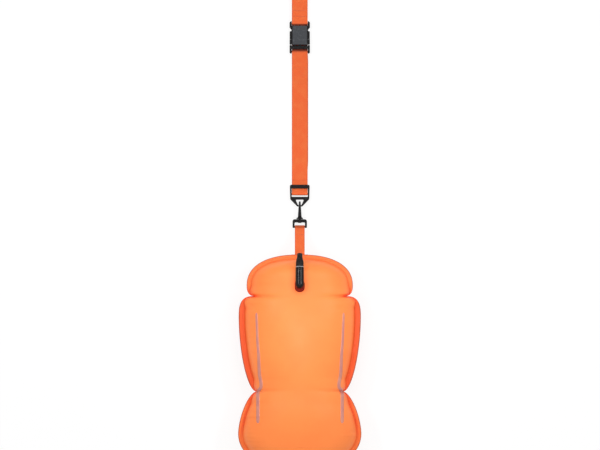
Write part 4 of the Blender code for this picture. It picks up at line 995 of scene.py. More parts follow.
def strip_shape(surface, side, width):
    """A grid laid along the strip's line and dropped on the cloth."""
    line = settle(evenly(strip_line(side), STRIP_SPACING), 3)
    rows = len(line) - 1
    shape = bmesh.new()
    edge_mask = shape.verts.layers.float.new("strip_edge")
    bmesh.ops.create_grid(shape, x_segments=STRIP_ACROSS, y_segments=rows, size=1.0)
    for vert in shape.verts:
        across = vert.co.x
        row = round((vert.co.y + 1.0) / 2.0 * rows)
        along = Vector(line[min(row + 1, rows)]) - Vector(line[max(row - 1, 0)])
        along.normalize()
        taper = 0.7 + 0.3 * smooth_step((line[row][1] - 0.15) / 0.18)
        half = width / 2.0 * taper * (1.0 - 0.85 * abs(row / rows * 2.0 - 1.0) ** 60.0)
        place = Vector(line[row]) + Vector((along.y, -along.x)) * across * half
        hit, normal, _, _ = surface.ray_cast(Vector((side * place.x, float_y(place.y), 1.0)),
                                             Vector((0.0, 0.0, -1.0)))
        sunk = STRIP_EDGE_SUNK if abs(across) > 0.9 else 0.0
        vert.co = hit + normal * (STRIP_LIFT - sunk - STRIP_THICKNESS / 2.0)
        vert[edge_mask] = smooth_step((abs(across) - 0.55) / 0.45)
    bmesh.ops.recalc_face_normals(shape, faces=shape.faces)
    if sum(face.normal.z for face in shape.faces) < 0.0:
        bmesh.ops.reverse_faces(shape, faces=shape.faces)
    return shape


# Webbing

STRAP_SPACING = 0.0011
STRAP_ACROSS = 12
EDGE_ROUNDING = 0.36
RIPPLE_HEIGHT = 0.00018
RAGGED_EDGE = 0.00012
THREAD_RADIUS = 0.00034
STITCH_LEAN = 0.12
TACK_HALF = 0.0017
TACK_PITCH = THREAD_RADIUS * 2.1
TACK_LEAN = 0.28


def soiled(y, z, places):
    """Painted shade that the webbing takes on where it passes round a bar, from 0 to 1."""
    return max(strength * math.exp(-((y - middle) / reach) ** 4.0) * (low < z < high)
               for middle, reach, strength, low, high in places)


def strap_shape(path, width, aside, shaded_at):
    """Webbing along a path in the YZ plane: a grid with its own map in metres, X across and Y
    along. aside gives how far each point of the path lies to the right, and the last argument the
    stretches that get painted shade round the bars, as (y, reach, strength, lowest, highest)."""
    line = settle(evenly(path, STRAP_SPACING), 2)
    rows = len(line) - 1
    along = distances(line)
    shape = bmesh.new()
    bmesh.ops.create_grid(shape, x_segments=STRAP_ACROSS, y_segments=rows, size=1.0)
    own_map = shape.loops.layers.uv.new("strap")
    soil = shape.verts.layers.float.new("soil")
    places = {}
    for vert in shape.verts:
        across = vert.co.x
        row = round((vert.co.y + 1.0) / 2.0 * rows)
        places[vert] = (across * width / 2.0, along[row])
        y, z = line[row]
        vert[soil] = soiled(y, z, shaded_at)
        ripple = RIPPLE_HEIGHT * noise.noise(
            Vector((across * 0.8, along[row] * 38.0, width * 90.0)))
        fray = noise.noise(Vector((across, along[row] * 240.0, 3.3)))
        ragged = RAGGED_EDGE * fray * abs(across)
        vert.co = (across * (width / 2.0 + ragged) + aside(y, z), y, z)
        ahead = Vector(line[min(row + 1, rows)]) - Vector(line[max(row - 1, 0)])
        ahead.normalize()
        vert.co += Vector((0.0, -ahead.y, ahead.x)) * ripple
    for face in shape.faces:
        for loop in face.loops:
            loop[own_map].uv = places[loop.vert]
    return shape


def add_strap(name, path, width, material, aside, shaded_at):
    """A strap with the webbing's thickness and softly rounded edges."""
    strap = mesh_object(name, strap_shape(path, width, aside, shaded_at), material)
    thicken(strap, "webbing thickness", WEBBING).use_even_offset = True
    edge = strap.modifiers.new("soft edges", "BEVEL")
    edge.width = WEBBING * EDGE_ROUNDING
    edge.segments = 3
    edge.limit_method = "ANGLE"
    edge.angle_limit = math.radians(60.0)
    return strap


def add_thread(shape, middle, turn, half_sizes):
    """One plump stretch of thread that dips at its ends."""
    size = Matrix.Diagonal((*half_sizes, 1.0))
    bmesh.ops.create_icosphere(shape, subdivisions=2, radius=1.0,
                               matrix=Matrix.Translation(middle) @ turn @ size)


def stitch_row(shape, start, end, stitch_length):
    """A row of lock stitches between two points."""
    run = Vector(end) - Vector(start)
    count = max(1, round(run.length / stitch_length))
    turn = run.to_track_quat("X", "Z").to_matrix().to_4x4() @ Matrix.Rotation(STITCH_LEAN, 4, "Z")
    for index in range(count):
        add_thread(shape, Vector(start) + run * ((index + 0.5) / count), turn,
                   (run.length / count * 0.46, THREAD_RADIUS, THREAD_RADIUS * 0.8))


def bar_tack(shape, middle, half_width):
    """A dense zigzag of thread across the webbing."""
    count = round(2.0 * half_width / TACK_PITCH)
    for index in range(count):
        x = middle.x - half_width + (index + 0.5) * TACK_PITCH
        lean = Matrix.Rotation(TACK_LEAN if index % 2 else -TACK_LEAN, 4, "Z")
        add_thread(shape, Vector((x, middle.y, middle.z)), lean,
                   (TACK_PITCH * 0.42, TACK_HALF, THREAD_RADIUS * 0.85))


def add_shape(shape, part):
    """Add a finished bmesh to another and free it."""
    mesh = bpy.data.meshes.new("part")
    part.to_mesh(mesh)
    part.free()
    shape.from_mesh(mesh)
    bpy.data.meshes.remove(mesh)


# Oral valve

def turned_shape(profile, place, segments=64):
    """Solid turned about the local Y axis, from (radius, reach) points, then moved to its place."""
    shape = bmesh.new()
    corners = [shape.verts.new((radius, reach, 0.0)) for radius, reach in profile]
    edges = []
    for corner, following in zip(corners, corners[1:] + corners[:1]):
        if corner.co.x > 0.0 or following.co.x > 0.0:
            edges.append(shape.edges.new((corner, following)))
    bmesh.ops.spin(shape, geom=corners + edges, cent=(0.0, 0.0, 0.0), axis=(0.0, 1.0, 0.0),
                   angle=math.tau, steps=segments, use_merge=True)
    bmesh.ops.remove_doubles(shape, verts=shape.verts, dist=GAP / 30.0)
    bmesh.ops.recalc_face_normals(shape, faces=shape.faces)
    bmesh.ops.transform(shape, matrix=place, verts=shape.verts)
    return shape


def rounded_corners(profile, radius, steps=4):
    """A closed profile with its corners rounded, apart from those on the axis."""
    points = []
    count = len(profile)
    for index, corner in enumerate(profile):
        here = Vector(corner)
        before = Vector(profile[index - 1]) - here
        after = Vector(profile[(index + 1) % count]) - here
        if corner[0] == 0.0 or min(before.length, after.length) < radius * 0.2:
            points.append(corner)
            continue
        reach = min(radius, before.length * 0.45, after.length * 0.45)
        first = here + before.normalized() * reach
        last = here + after.normalized() * reach
        for step in range(steps + 1):
            share = step / steps
            bend = first.lerp(here, share).lerp(here.lerp(last, share), share)
            points.append(tuple(bend))
    return points


def sharp_by_angle(piece, angle=38.0):
    piece.data.set_sharp_from_angle(angle=math.radians(angle))
    return piece


def valve_place():
    return Matrix.Translation(valve_root()) @ Matrix.Rotation(-TUBE_TILT, 4, "X")


def cloth_height(y):
    """Top of the front cloth on the centre line."""
    return front_height(FLOAT_TOP_Y - y) + CLOTH / 2.0


def valve_base_shape():
    """Soft base: a welded skirt that follows the cloth, a rounded wall, and a saddle for the tube.
    It starts as one ring whose lower half is drawn down, and is extruded ring by ring. A ring has
    its share of the radius, its climb from the cloth to the top and its lift off the cloth."""
    root = valve_root()
    top = root.z - BOSS_DROP
    rings = [(1.3, 0.0, -0.0012), (1.3, 0.0, 0.0001), (1.27, 0.0, 0.0005), (1.16, 0.0, 0.0007),
             (1.07, 0.0, 0.0012), (1.02, 0.12, 0.0014), (1.0, 0.35, 0.0), (0.99, 0.6, 0.0),
             (0.97, 0.8, 0.0), (0.93, 0.91, 0.0), (0.86, 0.97, 0.0), (0.76, 1.0, 0.0),
             (0.6, 1.0, 0.0), (0.4, 1.0, 0.0), (0.2, 1.0, 0.0), (0.0, 1.0, 0.0)]
    shape = bmesh.new()
    bmesh.ops.create_circle(shape, cap_ends=False, radius=1.0, segments=RING_SEGMENTS)
    ring = sorted(shape.verts, key=lambda vert: math.atan2(vert.co.y, vert.co.x))
    directions = [vert.co.xy.normalized() for vert in ring]
    edges = list(shape.edges)
    for index, (radius_share, climb, lift) in enumerate(rings):
        radius = BOSS_RADIUS * radius_share
        if index:
            grown = bmesh.ops.extrude_edge_only(shape, edges=edges)["geom"]
            edges = [item for item in grown if isinstance(item, bmesh.types.BMEdge)]
            ring = sorted((item for item in grown if isinstance(item, bmesh.types.BMVert)),
                          key=lambda vert: math.atan2(vert.co.y - middle_y(vert, root), vert.co.x))
        for vert, heading in zip(ring, directions):
            drawn = root.y - (BOSS_OFFSET if heading.y < -1e-6 else 0.0)
            y = drawn + heading.y * radius
            foot = cloth_height(y) + lift
            vert.co = (heading.x * radius, y, foot + (top - foot) * climb)
    bmesh.ops.remove_doubles(shape, verts=shape.verts, dist=GAP / 10.0)
    bmesh.ops.holes_fill(shape, edges=[edge for edge in shape.edges if edge.is_boundary], sides=0)
    make_saddle(shape, root)
    bmesh.ops.recalc_face_normals(shape, faces=shape.faces)
    return shape


def middle_y(vert, root):
    """The middle that a ring's point is measured from: the upper or the drawn-down one."""
    return root.y if vert.co.y >= root.y - BOSS_OFFSET / 2.0 else root.y - BOSS_OFFSET


def make_saddle(shape, root):
    """Push the base's points out of the space that the tube and its round root take up."""
    along = Vector((0.0, math.cos(TUBE_TILT), -math.sin(TUBE_TILT)))
    clear = TUBE_RADIUS + RUNNING_GAP
    for vert in shape.verts:
        offset = vert.co - root
        reach = max(0.0, offset.dot(along))
        away = offset - along * reach
        if away.length < clear and away.length > 1e-6:
            vert.co += away.normalized() * (clear - away.length)


class BuoyValve(bpy.types.Operator):
    """Make the oral valve: its soft base, glossy tube, washer, cap, nozzle, seal and spring"""
    bl_idname = "buoy.valve"
    bl_label = "Oral Valve"

    def execute(self, context):
        place = valve_place()
        # The base's deep red is painted shade.
        base = mesh_object("valve_base", valve_base_shape(),
                           finish("soft valve base", soft_valve_base))
        dress(base, "float", "weld_tape", "valve_boss")
        tube = mesh_object("valve_tube_gloss", turned_shape(self.tube_profile(), place),
                           finish("gloss rubber", gloss_rubber))
        dress(sharp_by_angle(tube), "tube", "gloss_rubber", "valve_tube")
        washer_start = TUBE_REACH + GAP
        washer_end = washer_start + WASHER_THICKNESS
        nozzle_clear = NOZZLE_RADIUS + GAP
        washer = [(nozzle_clear, washer_start), (WASHER_RADIUS, washer_start),
                  (WASHER_RADIUS, washer_end), (nozzle_clear, washer_end)]
        # The washer is painted pale as a highlight where the tube's lip meets the cap.
        ring = mesh_object("valve_washer", turned_shape(rounded_corners(washer, 0.0005), place),
                           plastic("pale plastic"))
        dress(sharp_by_angle(ring), "tube", "pale_plastic", "tube_washer")
        cap = mesh_object("valve_cap", self.cap_shape(washer_end + GAP, nozzle_clear, place),
                          plastic("satin cap"))
        dress(sharp_by_angle(cap), "cap", "black_plastic", "dust_cap")
        nozzle = mesh_object("valve_nozzle", turned_shape(self.nozzle_profile(), place),
                             plastic("black plastic"))
        dress(sharp_by_angle(nozzle), "poppet", "black_plastic", "valve_poppet")
        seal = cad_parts["valve_seal"].data.materials
        seal.clear()
        seal.append(finish("seal rubber", gloss_rubber))
        spring = mesh_object("valve_coil_spring", self.spring_shape(place),
                             finish("spring steel", spring_steel))
        dress(spring, "tube", "spring_steel", "valve_spring")
        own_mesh(spring)
        return {"FINISHED"}

    @staticmethod
    def spring_shape(place):
        """Coil of round wire about the nozzle's stem, from the seal to the nozzle's shoulder."""
        curve = bpy.data.curves.new("coil", "CURVE")
        curve.dimensions = "3D"
        curve.bevel_depth = SPRING_WIRE_RADIUS
        curve.bevel_resolution = 2
        curve.use_fill_caps = True
        coil = curve.splines.new("POLY")
        count = SPRING_TURNS * 16
        start = SEAL_END + GAP + SPRING_WIRE_RADIUS
        end = NOZZLE_FROM - GAP - SPRING_WIRE_RADIUS
        coil.points.add(count)
        for index, point in enumerate(coil.points):
            angle = math.tau * SPRING_TURNS * index / count
            point.co = (SPRING_RADIUS * math.cos(angle), start + (end - start) * index / count,
                        SPRING_RADIUS * math.sin(angle), 1.0)
        holder = bpy.data.objects.new("coil", curve)
        shape = bmesh.new()
        shape.from_mesh(holder.to_mesh())
        holder.to_mesh_clear()
        bpy.data.objects.remove(holder)
        bpy.data.curves.remove(curve)
        bmesh.ops.remove_doubles(shape, verts=shape.verts, dist=GAP / 30.0)
        bmesh.ops.recalc_face_normals(shape, faces=shape.faces)
        bmesh.ops.transform(shape, matrix=place, verts=shape.verts)
        return shape

    @staticmethod
    def tube_profile():
        """Round root, straight wall with a shallow mould line, rolled lip and open bore."""
        wall = arc_points((0.0, 0.0), TUBE_RADIUS, -90.0, 0.0, 24)[1:]
        groove_at = TUBE_REACH * MOULD_LINE_SHARE
        wall += [(TUBE_RADIUS, 0.0008), (TUBE_RADIUS, groove_at - 0.0014),
                 (TUBE_RADIUS, groove_at - 0.0006), (TUBE_RADIUS - 0.00025, groove_at),
                 (TUBE_RADIUS, groove_at + 0.0006), (TUBE_RADIUS, groove_at + 0.0014)]
        roll, inside = 0.0012, 0.0006
        lip = arc_points((TUBE_RADIUS - roll, TUBE_REACH - roll), roll, 0.0, 90.0, 8)
        bore = arc_points((TUBE_BORE_RADIUS + inside, TUBE_REACH - inside), inside,
                          90.0, 180.0, 4)
        floor = 0.004
        return ([(0.0, -TUBE_RADIUS)] + wall + lip + bore
                + [(TUBE_BORE_RADIUS, floor), (0.0, floor)])

    @staticmethod
    def nozzle_profile():
        """Poppet disc, stem and the blowing nozzle with its rolled mouth."""
        disc_end = SEAL_AT - GAP
        disc_start = disc_end - 0.0022
        disc, stem, bore = 0.0056, 0.0024, 0.0034
        bore_end = NOZZLE_REACH - 0.018
        return rounded_corners([
            (0.0, disc_start), (disc, disc_start), (disc, disc_end), (stem, disc_end),
            (stem, NOZZLE_FROM), (NOZZLE_RADIUS, NOZZLE_FROM), (NOZZLE_RADIUS, NOZZLE_REACH),
            (bore, NOZZLE_REACH), (bore, bore_end), (0.0, bore_end)], 0.0009)

    @staticmethod
    def cap_shape(start, nozzle_clear, place):
        """Bottle-shaped cap: a skirt with fine grip ribs, a swept shoulder and a slim tip."""
        end = start + CAP_LENGTH
        skirt_end = start + CAP_LENGTH * CAP_SKIRT_SHARE
        neck_from = start + CAP_LENGTH * CAP_SHOULDER_SHARE
        edge, groove, inside = 0.0006, 0.0002, 0.016
        profile = [(nozzle_clear, start), (CAP_RADIUS - edge, start), (CAP_RADIUS, start + edge)]
        for rib in range(1, CAP_RIBS + 1):
            at = start + edge + (skirt_end - start - 2.0 * edge) * rib / (CAP_RIBS + 1)
            profile += [(CAP_RADIUS, at - groove), (CAP_RADIUS - groove, at),
                        (CAP_RADIUS, at + groove)]
        for step in range(25):
            share = step / 24.0
            narrowed = CAP_RADIUS + (CAP_TIP_RADIUS - CAP_RADIUS) * smooth_step(share)
            profile.append((narrowed, skirt_end + (neck_from - skirt_end) * share))
        rounding = CAP_TIP_RADIUS * 0.45
        profile += arc_points((CAP_TIP_RADIUS - groove - rounding, end - rounding), rounding,
                              0.0, 90.0, 8)
        profile += [(0.0, end), (0.0, start + inside), (nozzle_clear, start + inside)]
        return turned_shape(profile, place)


CAP_RIBS = 8
MOULD_LINE_SHARE = 0.87
RING_SEGMENTS = 72


def straight(_y, _z):
    return 0.0


def beside_the_front(y, z):
    """The belt's back run lies a little to the right of its front run, as the photograph shows."""
    if z > 2.5 * WEBBING:
        return 0.0
    return (BACK_RUN_ASIDE * smooth_step((y - BACK_RUN_FROM_Y) / 0.03)
            * smooth_step((BACK_RUN_TO_Y - y) / 0.04))


BACK_RUN_ASIDE = 0.0013
BACK_RUN_FROM_Y = 0.13
BACK_RUN_TO_Y = 0.44


def belt_layer(layer):
    """Height of the middle of a belt layer: 0 lies on the surface, 1 on top of it."""
    return WEBBING / 2.0 + layer * (WEBBING + GAP)


def buckle_height():
    return WEBBING + GAP + BUCKLE_HALF_HEIGHT


def leash_height():
    """Middle of the leash's end, just under the weld."""
    return FLANGE_HEIGHT - GAP / 2.0 - CLOTH - GAP - WEBBING / 2.0


def leash_path():
    """From under the weld over the bending line, down round the swivel's bar and back under."""
    hinge = Vector((FLOAT_TOP_Y + LEASH_HINGE_OUT, leash_height()))
    bar = Vector((BASE_BAR_Y, CHAIN_HEIGHT))
    radius = BASE_BAR_RADIUS + RUNNING_GAP + WEBBING / 2.0
    away = hinge - bar
    heading = math.degrees(math.atan2(away.y, away.x))
    opening = math.degrees(math.acos(radius / away.length))
    loop = arc_points(bar, radius, heading - opening, heading + opening - 360.0, 24)
    up = (hinge - Vector(loop[0])).normalized()
    under = Vector((-up.y, up.x)) * (WEBBING + GAP)
    sewn_from = Vector(loop[0]) + up * LEASH_LAP / 2.0 + under
    sewn_to = Vector(loop[0]) + up * LEASH_LAP + under
    tab = (FLOAT_TOP_Y - TAB_LENGTH + GAP, hinge.y)
    return [tab, tuple(hinge)] + loop + [tuple(sewn_from), tuple(sewn_to)]


def belt_paths():
    """Centre lines of the belt: the long run that both folds share, and the lower front run."""
    wrap = RUNNING_GAP + WEBBING / 2.0
    layer = WEBBING + GAP
    buckle_z = buckle_height()
    socket_wrap = SOCKET_BAR_RADIUS + wrap
    upper_z = buckle_z + socket_wrap
    fold_radius = (upper_z - belt_layer(0)) / 2.0
    fold = (BELT_TOP_Y - WEBBING / 2.0 - fold_radius, belt_layer(0) + fold_radius)
    lap_from = SOCKET_BAR_Y + BELT_LAP
    lap_to = SOCKET_BAR_Y + BELT_LAP * 0.385
    under_top_bar = CHAIN_HEIGHT - RING_THICKNESS / 2.0 - wrap
    ring_edge = RING_TOP_Y - RING_TOP_BAR
    long_run = [(lap_from, upper_z - layer), (lap_to, upper_z - layer)]
    long_run += arc_points((SOCKET_BAR_Y, buckle_z), socket_wrap, 290.0, 90.0, 20)
    long_run += arc_points(fold, fold_radius, 90.0, -90.0, 20)
    long_run += [(BELT_LANDS_Y + RING_TOP_BAR, belt_layer(0)), (BELT_LANDS_Y, belt_layer(0)),
                 (RING_TOP_Y, under_top_bar - 1.9 * layer)]
    long_run += arc_points((RING_BAR_Y, CHAIN_HEIGHT), RING_BAR_RADIUS + wrap, 264.0, 62.0, 20)
    share = (BELT_SPLIT_Y - RING_TOP_Y) / (BELT_LANDS_Y - RING_TOP_Y)
    start = under_top_bar - layer / 2.0
    split = (BELT_SPLIT_Y, start + (belt_layer(1) + GAP - start) * share)
    long_run += [(ring_edge, under_top_bar), (RING_TOP_Y, start), split]

    tail_rise = PLUG_BAR_Y - BELT_LAP / 2.0
    front_run = [(BELT_TAIL_Y, belt_layer(1)), (tail_rise, belt_layer(1))]
    front_run += arc_points((PLUG_BAR_Y, buckle_z), PLUG_BAR_RADIUS + wrap, -84.0, 96.0, 20)
    front_run += [(tail_rise, belt_layer(2) + layer), (tail_rise - BELT_LAP / 3.0, belt_layer(2)),
                  (BELT_TAIL_Y - layer, belt_layer(2)),
                  (BELT_TAIL_Y - BELT_LAP / 2.0, belt_layer(1)),
                  (BELT_LANDS_Y + RING_TOP_BAR, belt_layer(1)),
                  (BELT_LANDS_Y, belt_layer(1) + GAP), (split[0] + GAP, split[1])]
    return long_run, front_run


LEASH_TACKS = (0.013, 0.029)


def add_stitches(name, shape):
    """A piece of thread in the webbing thread's finish."""
    piece = mesh_object(name, shape, finish("webbing thread", stitch_thread, (0.95, 0.17, 0.045)))
    return piece


class BuoyLeash(bpy.types.Operator):
    """Make the leash's webbing, the patch that holds it under the weld, and their stitches"""
    bl_idname = "buoy.leash"
    bl_label = "Leash"

    def execute(self, context):
        width = context.scene.buoy_straps.leash_width
        path = leash_path()
        # The last argument paints shade on the leash where it wraps the swivel's bar.
        leash = add_strap("leash_strap", path, width,
                          finish("leash webbing", strap_webbing, width, 0.35), straight,
                          [(BASE_BAR_Y, 0.004, 0.45, 0.0, 1.0)])
        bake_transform(leash)
        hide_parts("leash_webbing", "leash_sewn_end")
        self.add_patch()
        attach(self.tacks(path, width), "leash")
        return {"FINISHED"}

    @staticmethod
    def add_patch():
        """Cloth patch that is welded over the leash's end on the weld's underside."""
        top = leash_height() - WEBBING / 2.0 - GAP
        shape = bmesh.new()
        bmesh.ops.create_grid(shape, x_segments=44, y_segments=10, size=1.0)
        mask = shape.verts.layers.float.new("weld")
        for vert in shape.verts:
            x, y = vert.co.x, vert.co.y
            pulled = 1.0 - 0.05 * abs(x) ** 9.0 * abs(y) ** 9.0
            vert.co = (x * pulled * PATCH_WIDTH / 2.0,
                       FLOAT_TOP_Y - TAB_LENGTH / 2.0 + y * pulled * TAB_LENGTH / 2.0,
                       top - CLOTH / 2.0 - 0.00025 * noise.noise(Vector((x * 9.0, y * 3.0, 0.5))))
            vert[mask] = 0.8
        patch = mesh_object("leash_patch", shape, finish("float cloth", float_cloth))
        thicken(patch, "cloth thickness", CLOTH)
        dress(patch, "float", "weld_tape", "anchor_patch")

    @staticmethod
    def tacks(path, width):
        """Two bar tacks through the lap above the swivel."""
        shape = bmesh.new()
        low = Vector((0.0, *path[2]))
        high = Vector((0.0, *path[1]))
        up = (high - low).normalized()
        out = Vector((0.0, up.z, -up.y)) * (WEBBING / 2.0)
        if out.z < 0.0:
            out = -out
        turn = Matrix.Rotation(math.atan2(up.z, up.y), 4, "X")
        for along in LEASH_TACKS:
            tack = bmesh.new()
            bar_tack(tack, Vector(), width * 0.4)
            bmesh.ops.transform(tack, verts=tack.verts,
                                matrix=Matrix.Translation(low + up * along + out) @ turn)
            add_shape(shape, tack)
        return add_stitches("leash_tacks", shape)


class BuoyBelt(bpy.types.Operator):
    """Make the waist belt's two runs of webbing and their stitches"""
    bl_idname = "buoy.belt"
    bl_label = "Waist Belt"

    def execute(self, context):
        straps = context.scene.buoy_straps
        cloth = finish("belt webbing", strap_webbing, straps.belt_width, 0.3)
        long_run, front_run = belt_paths()
        # The list paints shade on the belt where it passes round the buckle's bars and the ring's
        # bar.
        back = add_strap("belt_back_strap", long_run, straps.belt_width, cloth, beside_the_front,
                         [(SOCKET_BAR_Y - 0.0027, 0.0032, 0.9, buckle_height(), 1.0),
                          (PLUG_BAR_Y + 0.011, 0.012, 0.95, 0.0, 2.0 * WEBBING),
                          (RING_BAR_Y - 0.004, 0.0022, 0.85, 0.0, 1.0)])
        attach(back, "belt")
        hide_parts("belt_webbing")
        # The list paints shade on the belt where it wraps the plug's bar.
        front = add_strap("belt_front_strap", front_run, straps.belt_width, cloth, straight,
                          [(PLUG_BAR_Y + 0.006, 0.0066, 0.97, 0.0, 1.0)])
        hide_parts("belt_front")
        self.move_with_plug(front)
        self.move_with_plug(self.tail_stitches(straps))
        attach(self.lap_stitches(straps), "belt")
        return {"FINISHED"}

    @staticmethod
    def move_with_plug(piece):
        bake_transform(piece)

    @staticmethod
    def tail_stitches(straps):
        """Crossed box of stitches through the sewn tail below the plug."""
        top = belt_layer(2) + WEBBING / 2.0
        half = straps.belt_width * 0.38
        low, high = BELT_TAIL_Y + 0.0035, BELT_TAIL_Y + 0.0245
        corners = [(-half, low), (half, low), (half, high), (-half, high)]
        shape = bmesh.new()
        lines = list(zip(corners, corners[1:] + corners[:1])) + [(corners[0], corners[2]),
                                                                (corners[1], corners[3])]
        for start, end in lines:
            stitch_row(shape, (*start, top), (*end, top), straps.stitch_length)
        return add_stitches("belt_tail_stitches", shape)

    @staticmethod
    def lap_stitches(straps):
        """Two bar tacks through the lap above the buckle."""
        upper = buckle_height() + SOCKET_BAR_RADIUS + RUNNING_GAP + WEBBING
        shape = bmesh.new()
        for y in (SOCKET_BAR_Y + BELT_LAP * 0.5, SOCKET_BAR_Y + BELT_LAP * 0.88):
            bar_tack(shape, Vector((0.0, y, upper)), straps.belt_width * 0.42)
        return add_stitches("belt_lap_tacks", shape)


# Moulded plastic hardware

def rounded_polygon(corners, steps=8):
    """Closed outline from (x, y, radius) corners, each rounded with its own arc."""
    outline = []
    count = len(corners)
    for index, (x, y, radius) in enumerate(corners):
        here = Vector((x, y))
        to_before = (Vector(corners[index - 1][:2]) - here).normalized()
        to_after = (Vector(corners[(index + 1) % count][:2]) - here).normalized()
        half_angle = to_before.angle(to_after) / 2.0
        reach = radius / math.tan(half_angle)
        centre = here + (to_before + to_after).normalized() * radius / math.sin(half_angle)
        first = here + to_before * reach - centre
        last = here + to_after * reach - centre
        start = math.degrees(math.atan2(first.y, first.x))
        sweep = (math.degrees(math.atan2(last.y, last.x)) - start + 180.0) % 360.0 - 180.0
        outline += arc_points(centre, radius, start, start + sweep, steps)
    return outline


def mirrored_corners(right):
    return right + [(-x, y, radius) for x, y, radius in reversed(right)]


def plate_shape(outlines, low, high):
    """Plate between two levels; the first outline is its edge and the others are its openings."""
    shape = bmesh.new()
    edges = []
    for outline in outlines:
        ring = [shape.verts.new((x, y, low)) for x, y in outline]
        edges += [shape.edges.new(pair) for pair in zip(ring, ring[1:] + ring[:1])]
    bmesh.ops.triangle_fill(shape, use_beauty=True, edges=edges)
    raised = bmesh.ops.extrude_face_region(shape, geom=list(shape.faces))["geom"]
    lifted = [item for item in raised if isinstance(item, bmesh.types.BMVert)]
    bmesh.ops.translate(shape, verts=lifted, vec=(0.0, 0.0, high - low))
    bmesh.ops.recalc_face_normals(shape, faces=shape.faces)
    return shape


def round_rims(shape, width, segments=4, angle=55.0):
    """Round every edge that turns more sharply than the angle."""
    limit = math.radians(angle)
    edges = [edge for edge in shape.edges
             if len(edge.link_faces) == 2 and edge.calc_face_angle(0.0) > limit]
    bmesh.ops.bevel(shape, geom=edges, offset=width, segments=segments, profile=0.5,
                    affect="EDGES", material=-1, clamp_overlap=True)
    return shape


def add_bar(shape, radius, half_length, y, z, segments=28):
    """Round bar along X."""
    place = Matrix.Translation((0.0, y, z)) @ Matrix.Rotation(math.radians(90.0), 4, "Y")
    bmesh.ops.create_cone(shape, cap_ends=True, segments=segments, radius1=radius, radius2=radius,
                          depth=2.0 * half_length, matrix=place)


def add_hardware(name, shape, body, node, slot="black_plastic"):
    """A moulded piece of black plastic that stands for one CAD node."""
    piece = sharp_by_angle(mesh_object(name, shape, plastic("black plastic")), 32.0)
    return dress(piece, body, slot, node)


def on_chain():
    return Matrix.Translation((0.0, 0.0, CHAIN_HEIGHT))


SWIVEL_HEAD_SINK = 0.0012


